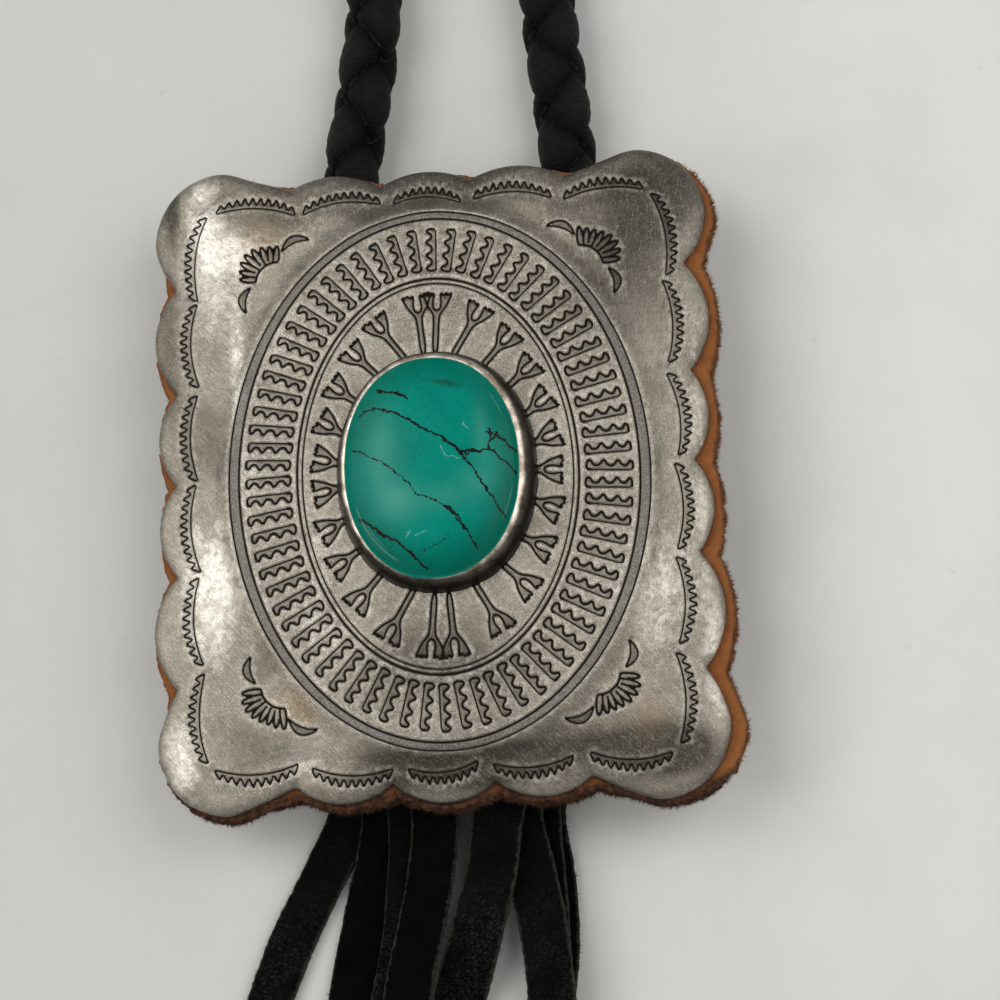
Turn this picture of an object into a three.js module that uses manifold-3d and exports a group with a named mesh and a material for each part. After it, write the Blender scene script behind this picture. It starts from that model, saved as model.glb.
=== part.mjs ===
// Bolo tie: a domed, scalloped plate with an oval stone in a plain bezel, on a
// leather backing, sliding on one braided leather cord whose two ends open into
// flat leather strips. It lies face up. Millimetres, +Z up, +Y towards the neck
// loop, origin at the middle of the keeper's flat underside, on the surface that
// the tie lies on.
import * as THREE from 'three';
import { mergeVertices } from 'three/addons/utils/BufferGeometryUtils.js';
import Module from 'manifold-3d';

// ---- driving dimensions -------------------------------------------------
const KEEPER_T = 1.4;            // floor of the keeper under the cords
const GAP = 0.3;                 // gap between pieces
const CORD_D = 8.0;              // braid diameter
const LEATHER_T = 3.0;           // backing leather
const LEATHER_Z = KEEPER_T + 2 * GAP + CORD_D;        // underside of the backing
const PLATE_Z = LEATHER_Z + LEATHER_T + GAP;          // underside of the plate's edge
const PLATE_T = 1.2;             // sheet metal
const RIM_W = 2.2, RIM_H = 1.2;  // turned-down rim
const LAND_RISE = 0.7;           // stamped border, rising inwards
const STEP_RISE = 1.0;           // short slope outside the oval ring
const DOME_RISE = 2.3;           // dome inside the ring
const RING = { a: 27.7, b: 36.1, x: 0.7, y: -0.5 };   // outer engraved ring
const BEZEL = { a: 13.1, b: 16.0, lean: 1.0, h: 3.4, wall: 0.7 };
const STONE_RISE = 1.9;          // dome above the bezel's lip
const ROUND = 2.15;              // superellipse power of stone and bezel

// ---- scalloped outline --------------------------------------------------
// Clockwise from the top left: each row is the notch that a lobe starts at and
// the height of that lobe above the chord to the next notch; lobe 0 is a corner.
const NOTCHES = [
  { x: -18.5, y: 40.7, lobe: 1.8 }, { x: -6.3, y: 40.4, lobe: 1.7 },
  { x: 5.8, y: 40.7, lobe: 1.8 }, { x: 18.6, y: 40.5, lobe: 0 },
  { x: 34.1, y: 27.3, lobe: 2.8 }, { x: 34.3, y: 12.6, lobe: 2.1 },
  { x: 34.2, y: 0.5, lobe: 2.2 }, { x: 34.3, y: -11.8, lobe: 2.9 },
  { x: 34.4, y: -26.9, lobe: 0 }, { x: 19.0, y: -40.4, lobe: 2.2 },
  { x: 6.6, y: -40.6, lobe: 2.6 }, { x: -6.6, y: -40.4, lobe: 2.4 },
  { x: -19.1, y: -40.3, lobe: 0 }, { x: -34.7, y: -26.85, lobe: 3.0 },
  { x: -34.5, y: -12.0, lobe: 2.3 }, { x: -34.6, y: 0.4, lobe: 2.4 },
  { x: -34.4, y: 12.9, lobe: 2.9 }, { x: -34.5, y: 27.3, lobe: 0 },
];
// A corner lobe, from the notch on the long side to the one on the short side.
const CORNER = [
  { x: 36.1, y: 30.2 }, { x: 37.2, y: 34.4 }, { x: 35.7, y: 39.2 },
  { x: 32.6, y: 42.3 }, { x: 28.2, y: 43.6 }, { x: 23.4, y: 42.2 },
];

// m: how far lobes (x on the long sides, y on the short ones) and notches (nx, ny)
// stand out beyond the plate, the whole outline's offset (dx, dy), and how much
// further the bottom right corner stands out (corner).
const PLATE_MARGIN = { x: 0, y: 0, nx: 0, ny: 0, dx: 0, dy: 0, corner: 0 };
const LEATHER_MARGIN = { x: 0.6, y: 0.2, nx: 1.85, ny: 1.05, dx: 0.55, dy: -0.45, corner: 0.8 };
function outline(m, perLobe, perCorner) {
  const pts = [];
  const shift = n => {
    const side = Math.abs(n.x) > 30;
    return new THREE.Vector2(n.x + (side ? Math.sign(n.x) * m.nx : 0), n.y + (side ? 0 : Math.sign(n.y) * m.ny));
  };
  NOTCHES.forEach((n, i) => {
    const q = NOTCHES[(i + 1) % NOTCHES.length];
    const a = shift(n), b = shift(q), side = Math.abs(n.x) > 30;
    if (n.lobe > 0) {
      const u = b.clone().sub(a), out = new THREE.Vector2(-u.y, u.x).normalize();
      const h = n.lobe + (side ? m.x - m.nx : m.y - m.ny);
      for (let k = 0; k < perLobe; k++) {
        const t = k / perLobe;
        pts.push(a.clone().addScaledVector(u, t).addScaledVector(out, h * Math.pow(Math.sin(Math.PI * t), 0.8)));
      }
    } else {
      const sx = Math.sign(n.x + q.x), sy = Math.sign(n.y + q.y);
      const extra = sx > 0 && sy < 0 ? m.corner : 0;
      let mid = CORNER.map(c => new THREE.Vector3(sx * c.x, sy * c.y, 0));
      if (Math.abs(n.x) < Math.abs(q.x)) mid = mid.reverse();
      mid = mid.map(p => {
        const d = new THREE.Vector3(p.x - sx * 27, p.y - sy * 33, 0).normalize();
        return new THREE.Vector3(p.x + d.x * (m.x + extra), p.y + d.y * m.y, 0);
      });
      const curve = new THREE.CatmullRomCurve3(
        [new THREE.Vector3(a.x, a.y, 0), ...mid, new THREE.Vector3(b.x, b.y, 0)], false, 'centripetal');
      for (let k = 0; k < perCorner; k++) { const p = curve.getPoint(k / perCorner); pts.push(new THREE.Vector2(p.x, p.y)); }
    }
  });
  return pts.map(p => new THREE.Vector2(p.x + m.dx, p.y + m.dy));
}

// ---- closed bodies from rings of points --------------------------------
function ringBody(rings, closed) {
  // rings: equal-length loops, each anticlockwise seen from +Z; the first and last
  // are capped to their middles unless the body closes on itself.
  const n = rings[0].length, pos = [], idx = [];
  rings.forEach(r => r.forEach(p => pos.push(p.x, p.y, p.z)));
  const last = rings.length - (closed ? 0 : 1);
  for (let i = 0; i < last; i++) {
    const j = (i + 1) % rings.length;
    for (let k = 0; k < n; k++) {
      const l = (k + 1) % n;
      idx.push(i * n + k, i * n + l, j * n + l, i * n + k, j * n + l, j * n + k);
    }
  }
  if (!closed) {
    [0, rings.length - 1].forEach(i => {
      const c = new THREE.Vector3();
      rings[i].forEach(p => c.add(p)); c.divideScalar(n);
      const ci = pos.length / 3; pos.push(c.x, c.y, c.z);
      for (let k = 0; k < n; k++) {
        const l = (k + 1) % n;
        if (i === 0) idx.push(ci, i * n + l, i * n + k); else idx.push(ci, i * n + k, i * n + l);
      }
    });
  }
  const g = new THREE.BufferGeometry();
  g.setAttribute('position', new THREE.Float32BufferAttribute(pos, 3));
  g.setIndex(idx);
  return g;
}
const oval = (a, b, z, n, cx, cy, power) => Array.from({ length: n }, (_, k) => {
  const t = 2 * Math.PI * k / n, c = Math.cos(t), s = Math.sin(t);
  const r = Math.pow(Math.pow(Math.abs(c), power) + Math.pow(Math.abs(s), power), -1 / power);
  return new THREE.Vector3(cx + a * r * c, cy + b * r * s, z);
});

// ---- plate --------------------------------------------------------------
const smooth = t => { t = Math.min(1, Math.max(0, t)); return t * t * (3 - 2 * t); };
const ringRadius = (x, y) => Math.hypot((x - RING.x) / RING.a, (y - RING.y) / RING.b);
// height of the plate's face above its edge; s is the distance in from the edge
function faceHeight(x, y, s) {
  const e = 1 - Math.min(s, RIM_W) / RIM_W, r = ringRadius(x, y);
  return RIM_H * Math.sqrt(Math.max(0, 1 - e * e)) + LAND_RISE * smooth((s - RIM_W) / 5)
    + STEP_RISE * smooth((1.09 - r) / 0.09) + DOME_RISE * Math.max(0, 1 - r * r);
}
const BEZEL_BASE = faceHeight(RING.x + BEZEL.a, RING.y, 20);

function plateRings() {
  const edge = outline(PLATE_MARGIN, 7, 16).reverse();   // anticlockwise from +Z
  const n = edge.length, inward = edge.map((p, i) => {
    const d = edge[(i + 1) % n].clone().sub(edge[(i + n - 1) % n]).normalize();
    return new THREE.Vector2(-d.y, d.x);
  });
  const rim = s => edge.map((p, i) => ({ p: p.clone().addScaledVector(inward[i], s), s }));
  const inner = rim(RIM_W);
  const field = rho => edge.map((p, i) => {
    const t = Math.atan2((inner[i].p.y - RING.y) / RING.b, (inner[i].p.x - RING.x) / RING.a);
    return new THREE.Vector2(RING.x + rho * RING.a * Math.cos(t), RING.y + rho * RING.b * Math.sin(t));
  });
  const ring109 = field(1.09);
  const between = t => edge.map((p, i) => {
    const q = inner[i].p.clone().lerp(ring109[i], t);
    return { p: q, s: RIM_W + t * inner[i].p.distanceTo(ring109[i]) };
  });
  const oval0 = rho => field(rho).map(p => ({ p, s: 30 }));
  const face = [rim(0), rim(0.5), rim(1.2), inner, between(0.35), between(0.7), oval0(1.09),
    oval0(1.0), oval0(0.8), oval0(0.6), oval0(0.4), oval0(0.15)];
  const back = [rim(0.9), inner, between(0.7), oval0(1.0), oval0(0.7), oval0(0.15)];
  const up = (rows, lift) => rows.map(row => row.map(q =>
    new THREE.Vector3(q.p.x, q.p.y, PLATE_Z + lift + faceHeight(q.p.x, q.p.y, q.s))));
  const top = up(face, 0.25);
  const bottom = up(back, 0.25 - PLATE_T).map(row => row.map(v => { v.z = Math.max(v.z, PLATE_Z); return v; }));
  const lip = edge.map(p => new THREE.Vector3(p.x, p.y, PLATE_Z));
  return [...bottom.reverse(), lip, ...top];
}

function bezelRings() {
  const z0 = PLATE_Z + 0.25 + BEZEL_BASE, n = 64, ring = (inset, z) => oval(BEZEL.a - inset, BEZEL.b - inset, z, n, RING.x, RING.y, ROUND);
  const top = z0 + BEZEL.h;
  return [
    ring(0, z0 - 0.9), ring(0, z0), ring(BEZEL.lean * 0.45, z0 + BEZEL.h * 0.6), ring(BEZEL.lean, top - 0.15),
    ring(BEZEL.lean + 0.3, top), ring(BEZEL.lean + BEZEL.wall, top - 0.15),
    ring(BEZEL.wall + 0.45, z0 + BEZEL.h * 0.6), ring(BEZEL.wall, z0), ring(BEZEL.wall, z0 - 0.9),
  ];
}

const wasm = await Module();
wasm.setup();
function toManifold(geometry) {
  const g = geometry.clone();
  ['normal', 'uv'].forEach(a => g.hasAttribute(a) && g.deleteAttribute(a));
  const m = mergeVertices(g, 1e-5);
  return new wasm.Manifold(new wasm.Mesh({
    numProp: 3, vertProperties: Float32Array.from(m.attributes.position.array),
    triVerts: Uint32Array.from(m.index.array),
  }));
}
function toGeometry(solid) {
  const m = solid.getMesh(), g = new THREE.BufferGeometry();
  g.setAttribute('position', new THREE.BufferAttribute(Float32Array.from(m.vertProperties), 3));
  g.setIndex(new THREE.BufferAttribute(Uint32Array.from(m.triVerts), 1));
  return g;
}
function plateGeometry() {
  return toGeometry(toManifold(ringBody(plateRings())).add(toManifold(ringBody(bezelRings(), true))));
}

// ---- stone --------------------------------------------------------------
function stoneGeometry() {
  const z0 = PLATE_Z + 0.25 + BEZEL_BASE + BEZEL.h, n = 64;
  const ring = (inset, z) => oval(BEZEL.a - BEZEL.wall - inset, BEZEL.b - BEZEL.wall - inset, z, n, RING.x, RING.y, ROUND);
  const seat = z0 - BEZEL.h + 1.5, girdle = 0.35, lip = BEZEL.lean + 0.35;
  const dome = [1, 0.93, 0.8, 0.62, 0.42, 0.2].map(k => {
    const a = BEZEL.a - BEZEL.wall - lip, b = BEZEL.b - BEZEL.wall - lip;
    return oval(a * k, b * k, z0 - 0.15 + STONE_RISE * Math.sqrt(1 - Math.pow(k * 0.985, 2.2)) , n, RING.x, RING.y, ROUND);
  });
  return ringBody([ring(girdle + 0.3, seat), ring(girdle, seat + 0.3), ring(girdle + 0.1, z0 - BEZEL.h * 0.55), ring(lip, z0 - 0.5), ...dome]);
}

// ---- leather backing -----------------------------------------------------
function leatherGeometry() {
  const s = new THREE.Shape(outline(LEATHER_MARGIN, 7, 14));
  const g = new THREE.ExtrudeGeometry(s, { depth: LEATHER_T, bevelEnabled: false });
  return g.translate(0, 0, LEATHER_Z);
}

// ---- keeper behind the leather: floor and three walls, two channels ------
const KEEPER = { x: 2.5, w: 44, l: 30, wall: 2.2, channel: 9.0, left: -10.5, right: 15.5 };
function keeperGeometry() {
  const top = LEATHER_Z - GAP, half = KEEPER.w / 2, c = KEEPER.channel / 2;
  const s = new THREE.Shape();
  s.moveTo(KEEPER.x - half, 0); s.lineTo(KEEPER.x + half, 0); s.lineTo(KEEPER.x + half, top);
  [KEEPER.right, KEEPER.left].forEach(x => {
    s.lineTo(x + c, top); s.lineTo(x + c, KEEPER_T); s.lineTo(x - c, KEEPER_T); s.lineTo(x - c, top);
  });
  s.lineTo(KEEPER.x - half, top); s.closePath();
  const g = new THREE.ExtrudeGeometry(s, { depth: KEEPER.l, bevelEnabled: false });
  return g.rotateX(Math.PI / 2).translate(0, KEEPER.l / 2, 0);
}

// ---- braided cord: one loop from the left end to the right end -------------
const ZF = CORD_D / 2 + 0.1, ZK = KEEPER_T + GAP + CORD_D / 2;   // on the floor, in the keeper
const CORD = [
  { x: -9.0, y: -24, z: ZK }, { x: -10.5, y: -12, z: ZK }, { x: -10.5, y: 12, z: ZK },
  { x: -11.9, y: 30, z: 4.9 }, { x: -11.6, y: 45, z: ZF }, { x: -9.4, y: 58, z: ZF },
  { x: -7.8, y: 71, z: ZF }, { x: -8.2, y: 92, z: ZF }, { x: -14, y: 125, z: ZF },
  { x: -23, y: 165, z: ZF }, { x: -30, y: 205, z: ZF }, { x: -29, y: 241, z: ZF },
  { x: -17, y: 268, z: ZF }, { x: 4, y: 279, z: ZF }, { x: 25, y: 268, z: ZF },
  { x: 37, y: 241, z: ZF }, { x: 38, y: 205, z: ZF }, { x: 31, y: 165, z: ZF },
  { x: 22, y: 125, z: ZF }, { x: 17, y: 92, z: ZF }, { x: 16.7, y: 71, z: ZF },
  { x: 17.8, y: 58, z: ZF }, { x: 18.8, y: 45, z: ZF }, { x: 18.0, y: 30, z: 4.9 },
  { x: 15.5, y: 12, z: ZK }, { x: 15.5, y: -12, z: ZK }, { x: 13.8, y: -24, z: ZK },
];
function cordGeometry() {
  const path = new THREE.CatmullRomCurve3(CORD.map(p => new THREE.Vector3(p.x, p.y, p.z)), false, 'centripetal');
  const s = new THREE.Shape(), sides = 10, r = CORD_D / 2;
  for (let k = 0; k < sides; k++) {
    const t = 2 * Math.PI * (k + 0.5) / sides;
    k ? s.lineTo(r * Math.cos(t), r * Math.sin(t)) : s.moveTo(r * Math.cos(t), r * Math.sin(t));
  }
  s.closePath();
  return new THREE.ExtrudeGeometry(s, { steps: 72, bevelEnabled: false, extrudePath: path });
}

// ---- fringe: flat strips, the opened strands of the two cord ends ----------
const STRIP_T = 1.5;
// Stations from the cord's end to the tip: x and underside z of each at STRIP_Y.
const STRIP_Y = [-27, -44, -51, -58, -64, -70, -99, -128];
const STRIPS = [
  { name: 'fringe_1', w: 5.8, x: [-9.5, -14.2, -17.8, -21.4, -24.0, -26.4, -35.5, -44], z: [0.8, 0.2, 0.2, 0.2, 0.2, 0.2, 0.2, 0.2] },
  { name: 'fringe_2', w: 6.0, x: [-10.4, -9.3, -10.6, -12.4, -13.8, -14.9, -20, -25.5], z: [3.0, 2.2, 1.3, 0.2, 0.2, 0.2, 0.2, 0.2] },
  { name: 'fringe_3', w: 4.0, x: [-7.4, -6.3, -6.7, -7.5, -8.6, -9.8, -12.4, -16.5], z: [5.2, 4.3, 3.3, 2.3, 2.3, 2.4, 1.0, 0.2] },
  { name: 'fringe_4', w: 6.3, x: [-5.5, -2.0, -2.7, -4.3, -5.8, -6.6, -7.2, -8.5], z: [7.4, 6.4, 5.4, 4.3, 4.3, 4.4, 3.2, 0.2] },
  { name: 'fringe_5', w: 6.7, x: [9.6, 6.4, 5.3, 3.2, 1.3, -0.4, -0.2, -1.0], z: [7.4, 6.5, 6.4, 5.4, 2.4, 0.2, 0.2, 0.2] },
  { name: 'fringe_6', w: 6.2, x: [11.4, 8.9, 10.3, 11.5, 12.1, 12.3, 8.6, 6.5], z: [5.2, 4.4, 4.3, 4.3, 4.3, 4.3, 4.0, 0.2] },
  { name: 'fringe_7', w: 6.0, x: [13.4, 11.4, 11.7, 12.0, 12.1, 12.1, 14.8, 16.0], z: [3.0, 2.3, 2.2, 2.2, 2.2, 2.2, 2.1, 0.2] },
  { name: 'fringe_8', w: 6.0, x: [14.5, 11.7, 12.8, 13.0, 12.6, 12.4, 21.8, 28.0], z: [0.8, 0.2, 0.2, 0.2, 0.2, 0.2, 0.2, 0.2] },
];
function stripGeometry(strip) {
  const c = new THREE.CatmullRomCurve3(STRIP_Y.map((y, i) => new THREE.Vector3(strip.x[i], y, strip.z[i])), false, 'centripetal');
  const rings = [];
  for (let i = 0; i <= 21; i++) {
    const p = c.getPoint(i / 21), t = c.getTangent(i / 21);
    const side = new THREE.Vector3(-t.y, t.x, 0).normalize().multiplyScalar(strip.w / 2);
    rings.push([[-1, 0], [1, 0], [1, 1], [-1, 1]].map(([a, b]) =>
      p.clone().addScaledVector(side, a).add(new THREE.Vector3(0, 0, b * STRIP_T))));
  }
  const g = ringBody(rings);
  return g;
}

// ---- materials and assembly ------------------------------------------------
const finish = (color, roughness, metalness) => new THREE.MeshStandardMaterial({ color, roughness, metalness });
const METAL = finish(0x9a9084, 0.35, 0.95), STONE = finish(0x0b7f6e, 0.12, 0.0);
const TAN = finish(0xa8632f, 0.8, 0.0), BLACK = finish(0x17171a, 0.6, 0.0);

const group = new THREE.Group();
function add(name, geometry, material) {
  const m = new THREE.Mesh(geometry, material);
  m.name = name;
  group.add(m);
}
add('plate', plateGeometry(), METAL);
add('stone', stoneGeometry(), STONE);
add('leather_backing', leatherGeometry(), TAN);
add('back_keeper', keeperGeometry(), BLACK);
add('braided_cord', cordGeometry(), BLACK);
STRIPS.forEach(s => add(s.name, stripGeometry(s), BLACK));

export default group;
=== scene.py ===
import math
import bpy
import numpy as np
from mathutils import Matrix, Vector, kdtree, noise
from mathutils.geometry import delaunay_2d_cdt


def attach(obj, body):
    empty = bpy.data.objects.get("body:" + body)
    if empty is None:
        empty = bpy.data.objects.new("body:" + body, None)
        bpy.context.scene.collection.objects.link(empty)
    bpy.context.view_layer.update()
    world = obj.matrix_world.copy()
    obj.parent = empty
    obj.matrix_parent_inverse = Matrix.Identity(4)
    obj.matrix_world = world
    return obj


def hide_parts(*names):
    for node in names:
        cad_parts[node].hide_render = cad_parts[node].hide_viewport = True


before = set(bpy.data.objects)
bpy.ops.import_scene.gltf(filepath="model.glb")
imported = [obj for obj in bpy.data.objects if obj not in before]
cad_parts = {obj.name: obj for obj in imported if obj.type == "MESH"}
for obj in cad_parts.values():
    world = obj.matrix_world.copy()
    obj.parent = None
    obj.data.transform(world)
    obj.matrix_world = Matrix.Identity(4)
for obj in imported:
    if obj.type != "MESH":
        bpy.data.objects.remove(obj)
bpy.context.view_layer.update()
MM = 0.001
rng = np.random.default_rng(11)

# ---- sizes, as in the CAD, in millimetres -------------------------------
KEEPER_T, GAP, CORD_D, LEATHER_T = 1.4, 0.3, 8.0, 3.0
LEATHER_Z = KEEPER_T + 2 * GAP + CORD_D
PLATE_Z = LEATHER_Z + LEATHER_T + GAP
RIM_W, RIM_H, LAND_RISE, STEP_RISE, DOME_RISE = 2.2, 1.2, 0.7, 1.0, 2.3
RING = dict(a=27.7, b=36.1, x=0.7, y=-0.5)
BEZEL = dict(a=13.1, b=16.0, lean=1.0, h=3.4, wall=0.7)
STONE_RISE, ROUND = 1.9, 2.15
NOTCHES = [(-18.5, 40.7, 1.8), (-6.3, 40.4, 1.7), (5.8, 40.7, 1.8), (18.6, 40.5, 0),
           (34.1, 27.3, 2.8), (34.3, 12.6, 2.1), (34.2, 0.5, 2.2), (34.3, -11.8, 2.9),
           (34.4, -26.9, 0), (19.0, -40.4, 2.2), (6.6, -40.6, 2.6), (-6.6, -40.4, 2.4),
           (-19.1, -40.3, 0), (-34.7, -26.85, 3.0), (-34.5, -12.0, 2.3), (-34.6, 0.4, 2.4),
           (-34.4, 12.9, 2.9), (-34.5, 27.3, 0)]
CORNER = [(36.1, 30.2), (37.2, 34.4), (35.7, 39.2), (32.6, 42.3), (28.2, 43.6), (23.4, 42.2)]

# ---- camera, at the photograph's angle -----------------------------------
CAM_AXES = ((0.9960523, 0.0495682, 0.0736404), (-0.0330682, 0.9770578, -0.2103913), (-0.0823796, 0.2071256, 0.9748398))
CAM_POS = (32.6814, -72.9216, 334.5941)
cam_data = bpy.data.cameras.new("camera")
cam_data.sensor_width = 36.0
cam_data.lens = 2507.892 / 1000.0 * 36.0
cam_data.clip_start = 0.01
cam = bpy.data.objects.new("camera", cam_data)
bpy.context.scene.collection.objects.link(cam)
m = Matrix.Identity(4)
for i in range(3):
    for j in range(3):
        m[i][j] = CAM_AXES[i][j]
    m[i][3] = CAM_POS[i] * MM
cam.matrix_world = m
bpy.context.scene.camera = cam


# ---- helpers --------------------------------------------------------------
def make(name, verts, faces, attrs=None, smooth=True):
    """A mesh object from points in millimetres, with float attributes on its points."""
    me = bpy.data.meshes.new(name)
    v = np.asarray(verts, float) * MM
    me.from_pydata(v.tolist(), [], [list(map(int, f)) for f in faces])
    for key, val in (attrs or {}).items():
        a = me.attributes.new(key, "FLOAT", "POINT")
        a.data.foreach_set("value", np.asarray(val, np.float32))
    me.update()
    if smooth:
        me.polygons.foreach_set("use_smooth", [True] * len(me.polygons))
    ob = bpy.data.objects.new(name, me)
    bpy.context.scene.collection.objects.link(ob)
    return ob


def catmull(points, step):
    """Points along a centripetal Catmull-Rom curve, about step apart."""
    p = [np.array(q, float) for q in points]
    p = [2 * p[0] - p[1]] + p + [2 * p[-1] - p[-2]]
    out = []
    for i in range(1, len(p) - 2):
        t = [0.0]
        for a, b in ((i - 1, i), (i, i + 1), (i + 1, i + 2)):
            t.append(t[-1] + max(1e-6, np.linalg.norm(p[b] - p[a]) ** 0.5))
        n = 24
        for k in range(n):
            x = t[1] + (t[2] - t[1]) * k / n
            a1 = (t[1] - x) / (t[1] - t[0]) * p[i - 1] + (x - t[0]) / (t[1] - t[0]) * p[i]
            a2 = (t[2] - x) / (t[2] - t[1]) * p[i] + (x - t[1]) / (t[2] - t[1]) * p[i + 1]
            a3 = (t[3] - x) / (t[3] - t[2]) * p[i + 1] + (x - t[2]) / (t[3] - t[2]) * p[i + 2]
            b1 = (t[2] - x) / (t[2] - t[0]) * a1 + (x - t[0]) / (t[2] - t[0]) * a2
            b2 = (t[3] - x) / (t[3] - t[1]) * a2 + (x - t[1]) / (t[3] - t[1]) * a3
            out.append((t[2] - x) / (t[2] - t[1]) * b1 + (x - t[1]) / (t[2] - t[1]) * b2)
    out.append(p[-2])
    return resample(np.array(out), step)


def resample(pts, step, closed=False):
    pts = np.asarray(pts, float)
    if closed:
        pts = np.vstack([pts, pts[:1]])
    d = np.r_[0, np.cumsum(np.linalg.norm(np.diff(pts, axis=0), axis=1))]
    n = max(2, int(round(d[-1] / step)))
    s = np.linspace(0, d[-1], n + 1)
    out = np.stack([np.interp(s, d, pts[:, k]) for k in range(pts.shape[1])], 1)
    return out[:-1] if closed else out


def wobble(p, scale, seed=0.0):
    return np.array([noise.noise(Vector((x * scale + seed, y * scale - seed, (z * scale if z is not None else 0) + 3.1 * seed)))
                     for x, y, z in p])


def finish_piece(ob, material, node):
    ob.data.materials.append(material)
    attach(ob, "root")
    if node:
        for n in ([node] if isinstance(node, str) else node):
            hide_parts(n)
    return ob


# ---- materials --------------------------------------------------------------
class Nodes:
    def __init__(self, name):
        self.mat = bpy.data.materials.new(name)
        self.mat.use_nodes = True
        self.t = self.mat.node_tree
        self.bsdf = self.t.nodes["Principled BSDF"]
        tc = self.t.nodes.new("ShaderNodeTexCoord")
        self.pos = self.mapping(tc.outputs["Object"], (1000, 1000, 1000))

    def link(self, a, b):
        self.t.links.new(a, b)

    def put(self, sock, val):
        if isinstance(val, bpy.types.NodeSocket):
            self.link(val, sock)
        else:
            sock.default_value = val

    def mapping(self, vec, scale, rot=(0, 0, 0), loc=(0, 0, 0)):
        n = self.t.nodes.new("ShaderNodeMapping")
        n.inputs["Scale"].default_value = scale
        n.inputs["Rotation"].default_value = rot
        n.inputs["Location"].default_value = loc
        self.link(vec, n.inputs["Vector"])
        return n.outputs["Vector"]

    def noise(self, scale, detail=4, rough=0.55, vec=None, dist=0.0):
        n = self.t.nodes.new("ShaderNodeTexNoise")
        n.inputs["Scale"].default_value = scale
        n.inputs["Detail"].default_value = detail
        n.inputs["Roughness"].default_value = rough
        n.inputs["Distortion"].default_value = dist
        self.link(vec or self.pos, n.inputs["Vector"])
        return n.outputs["Fac"]

    def voronoi(self, scale, vec=None, feature="F1", out="Distance"):
        n = self.t.nodes.new("ShaderNodeTexVoronoi")
        n.feature = feature
        n.inputs["Scale"].default_value = scale
        self.link(vec or self.pos, n.inputs["Vector"])
        return n.outputs[out]

    def attr(self, name):
        n = self.t.nodes.new("ShaderNodeAttribute")
        n.attribute_name = name
        return n.outputs["Fac"]

    def ramp(self, fac, stops):
        n = self.t.nodes.new("ShaderNodeValToRGB")
        e = n.color_ramp.elements
        while len(e) < len(stops):
            e.new(0.5)
        for el, (p, c) in zip(e, stops):
            el.position = p
            el.color = (c, c, c, 1) if not isinstance(c, (tuple, list)) else (*c, 1)
        self.put(n.inputs["Fac"], fac)
        return n.outputs["Color"]

    def mix(self, fac, a, b, mode="MIX"):
        n = self.t.nodes.new("ShaderNodeMix")
        n.data_type = "RGBA"
        n.blend_type = mode
        self.put(n.inputs["Factor"], fac)
        for sock, v in ((n.inputs["A"], a), (n.inputs["B"], b)):
            pass
        ia = [s for s in n.inputs if s.name == "A" and s.type == "RGBA"][0]
        ib = [s for s in n.inputs if s.name == "B" and s.type == "RGBA"][0]
        for sock, v in ((ia, a), (ib, b)):
            if isinstance(v, (tuple, list)):
                v = (*v, 1) if len(v) == 3 else v
            self.put(sock, v)
        return [s for s in n.outputs if s.type == "RGBA"][0]

    def math(self, op, a, b=0.0, c=None, clamp=False):
        n = self.t.nodes.new("ShaderNodeMath")
        n.operation = op
        n.use_clamp = clamp
        self.put(n.inputs[0], a)
        self.put(n.inputs[1], b)
        if c is not None:
            self.put(n.inputs[2], c)
        return n.outputs[0]

    def bump(self, height, strength, dist, normal=None):
        n = self.t.nodes.new("ShaderNodeBump")
        n.inputs["Strength"].default_value = strength
        n.inputs["Distance"].default_value = dist
        self.put(n.inputs["Height"], height)
        if normal is not None:
            self.link(normal, n.inputs["Normal"])
        return n.outputs["Normal"]

    def set(self, **kw):
        for k, v in kw.items():
            self.put(self.bsdf.inputs[k.replace("_", " ")], v)


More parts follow.
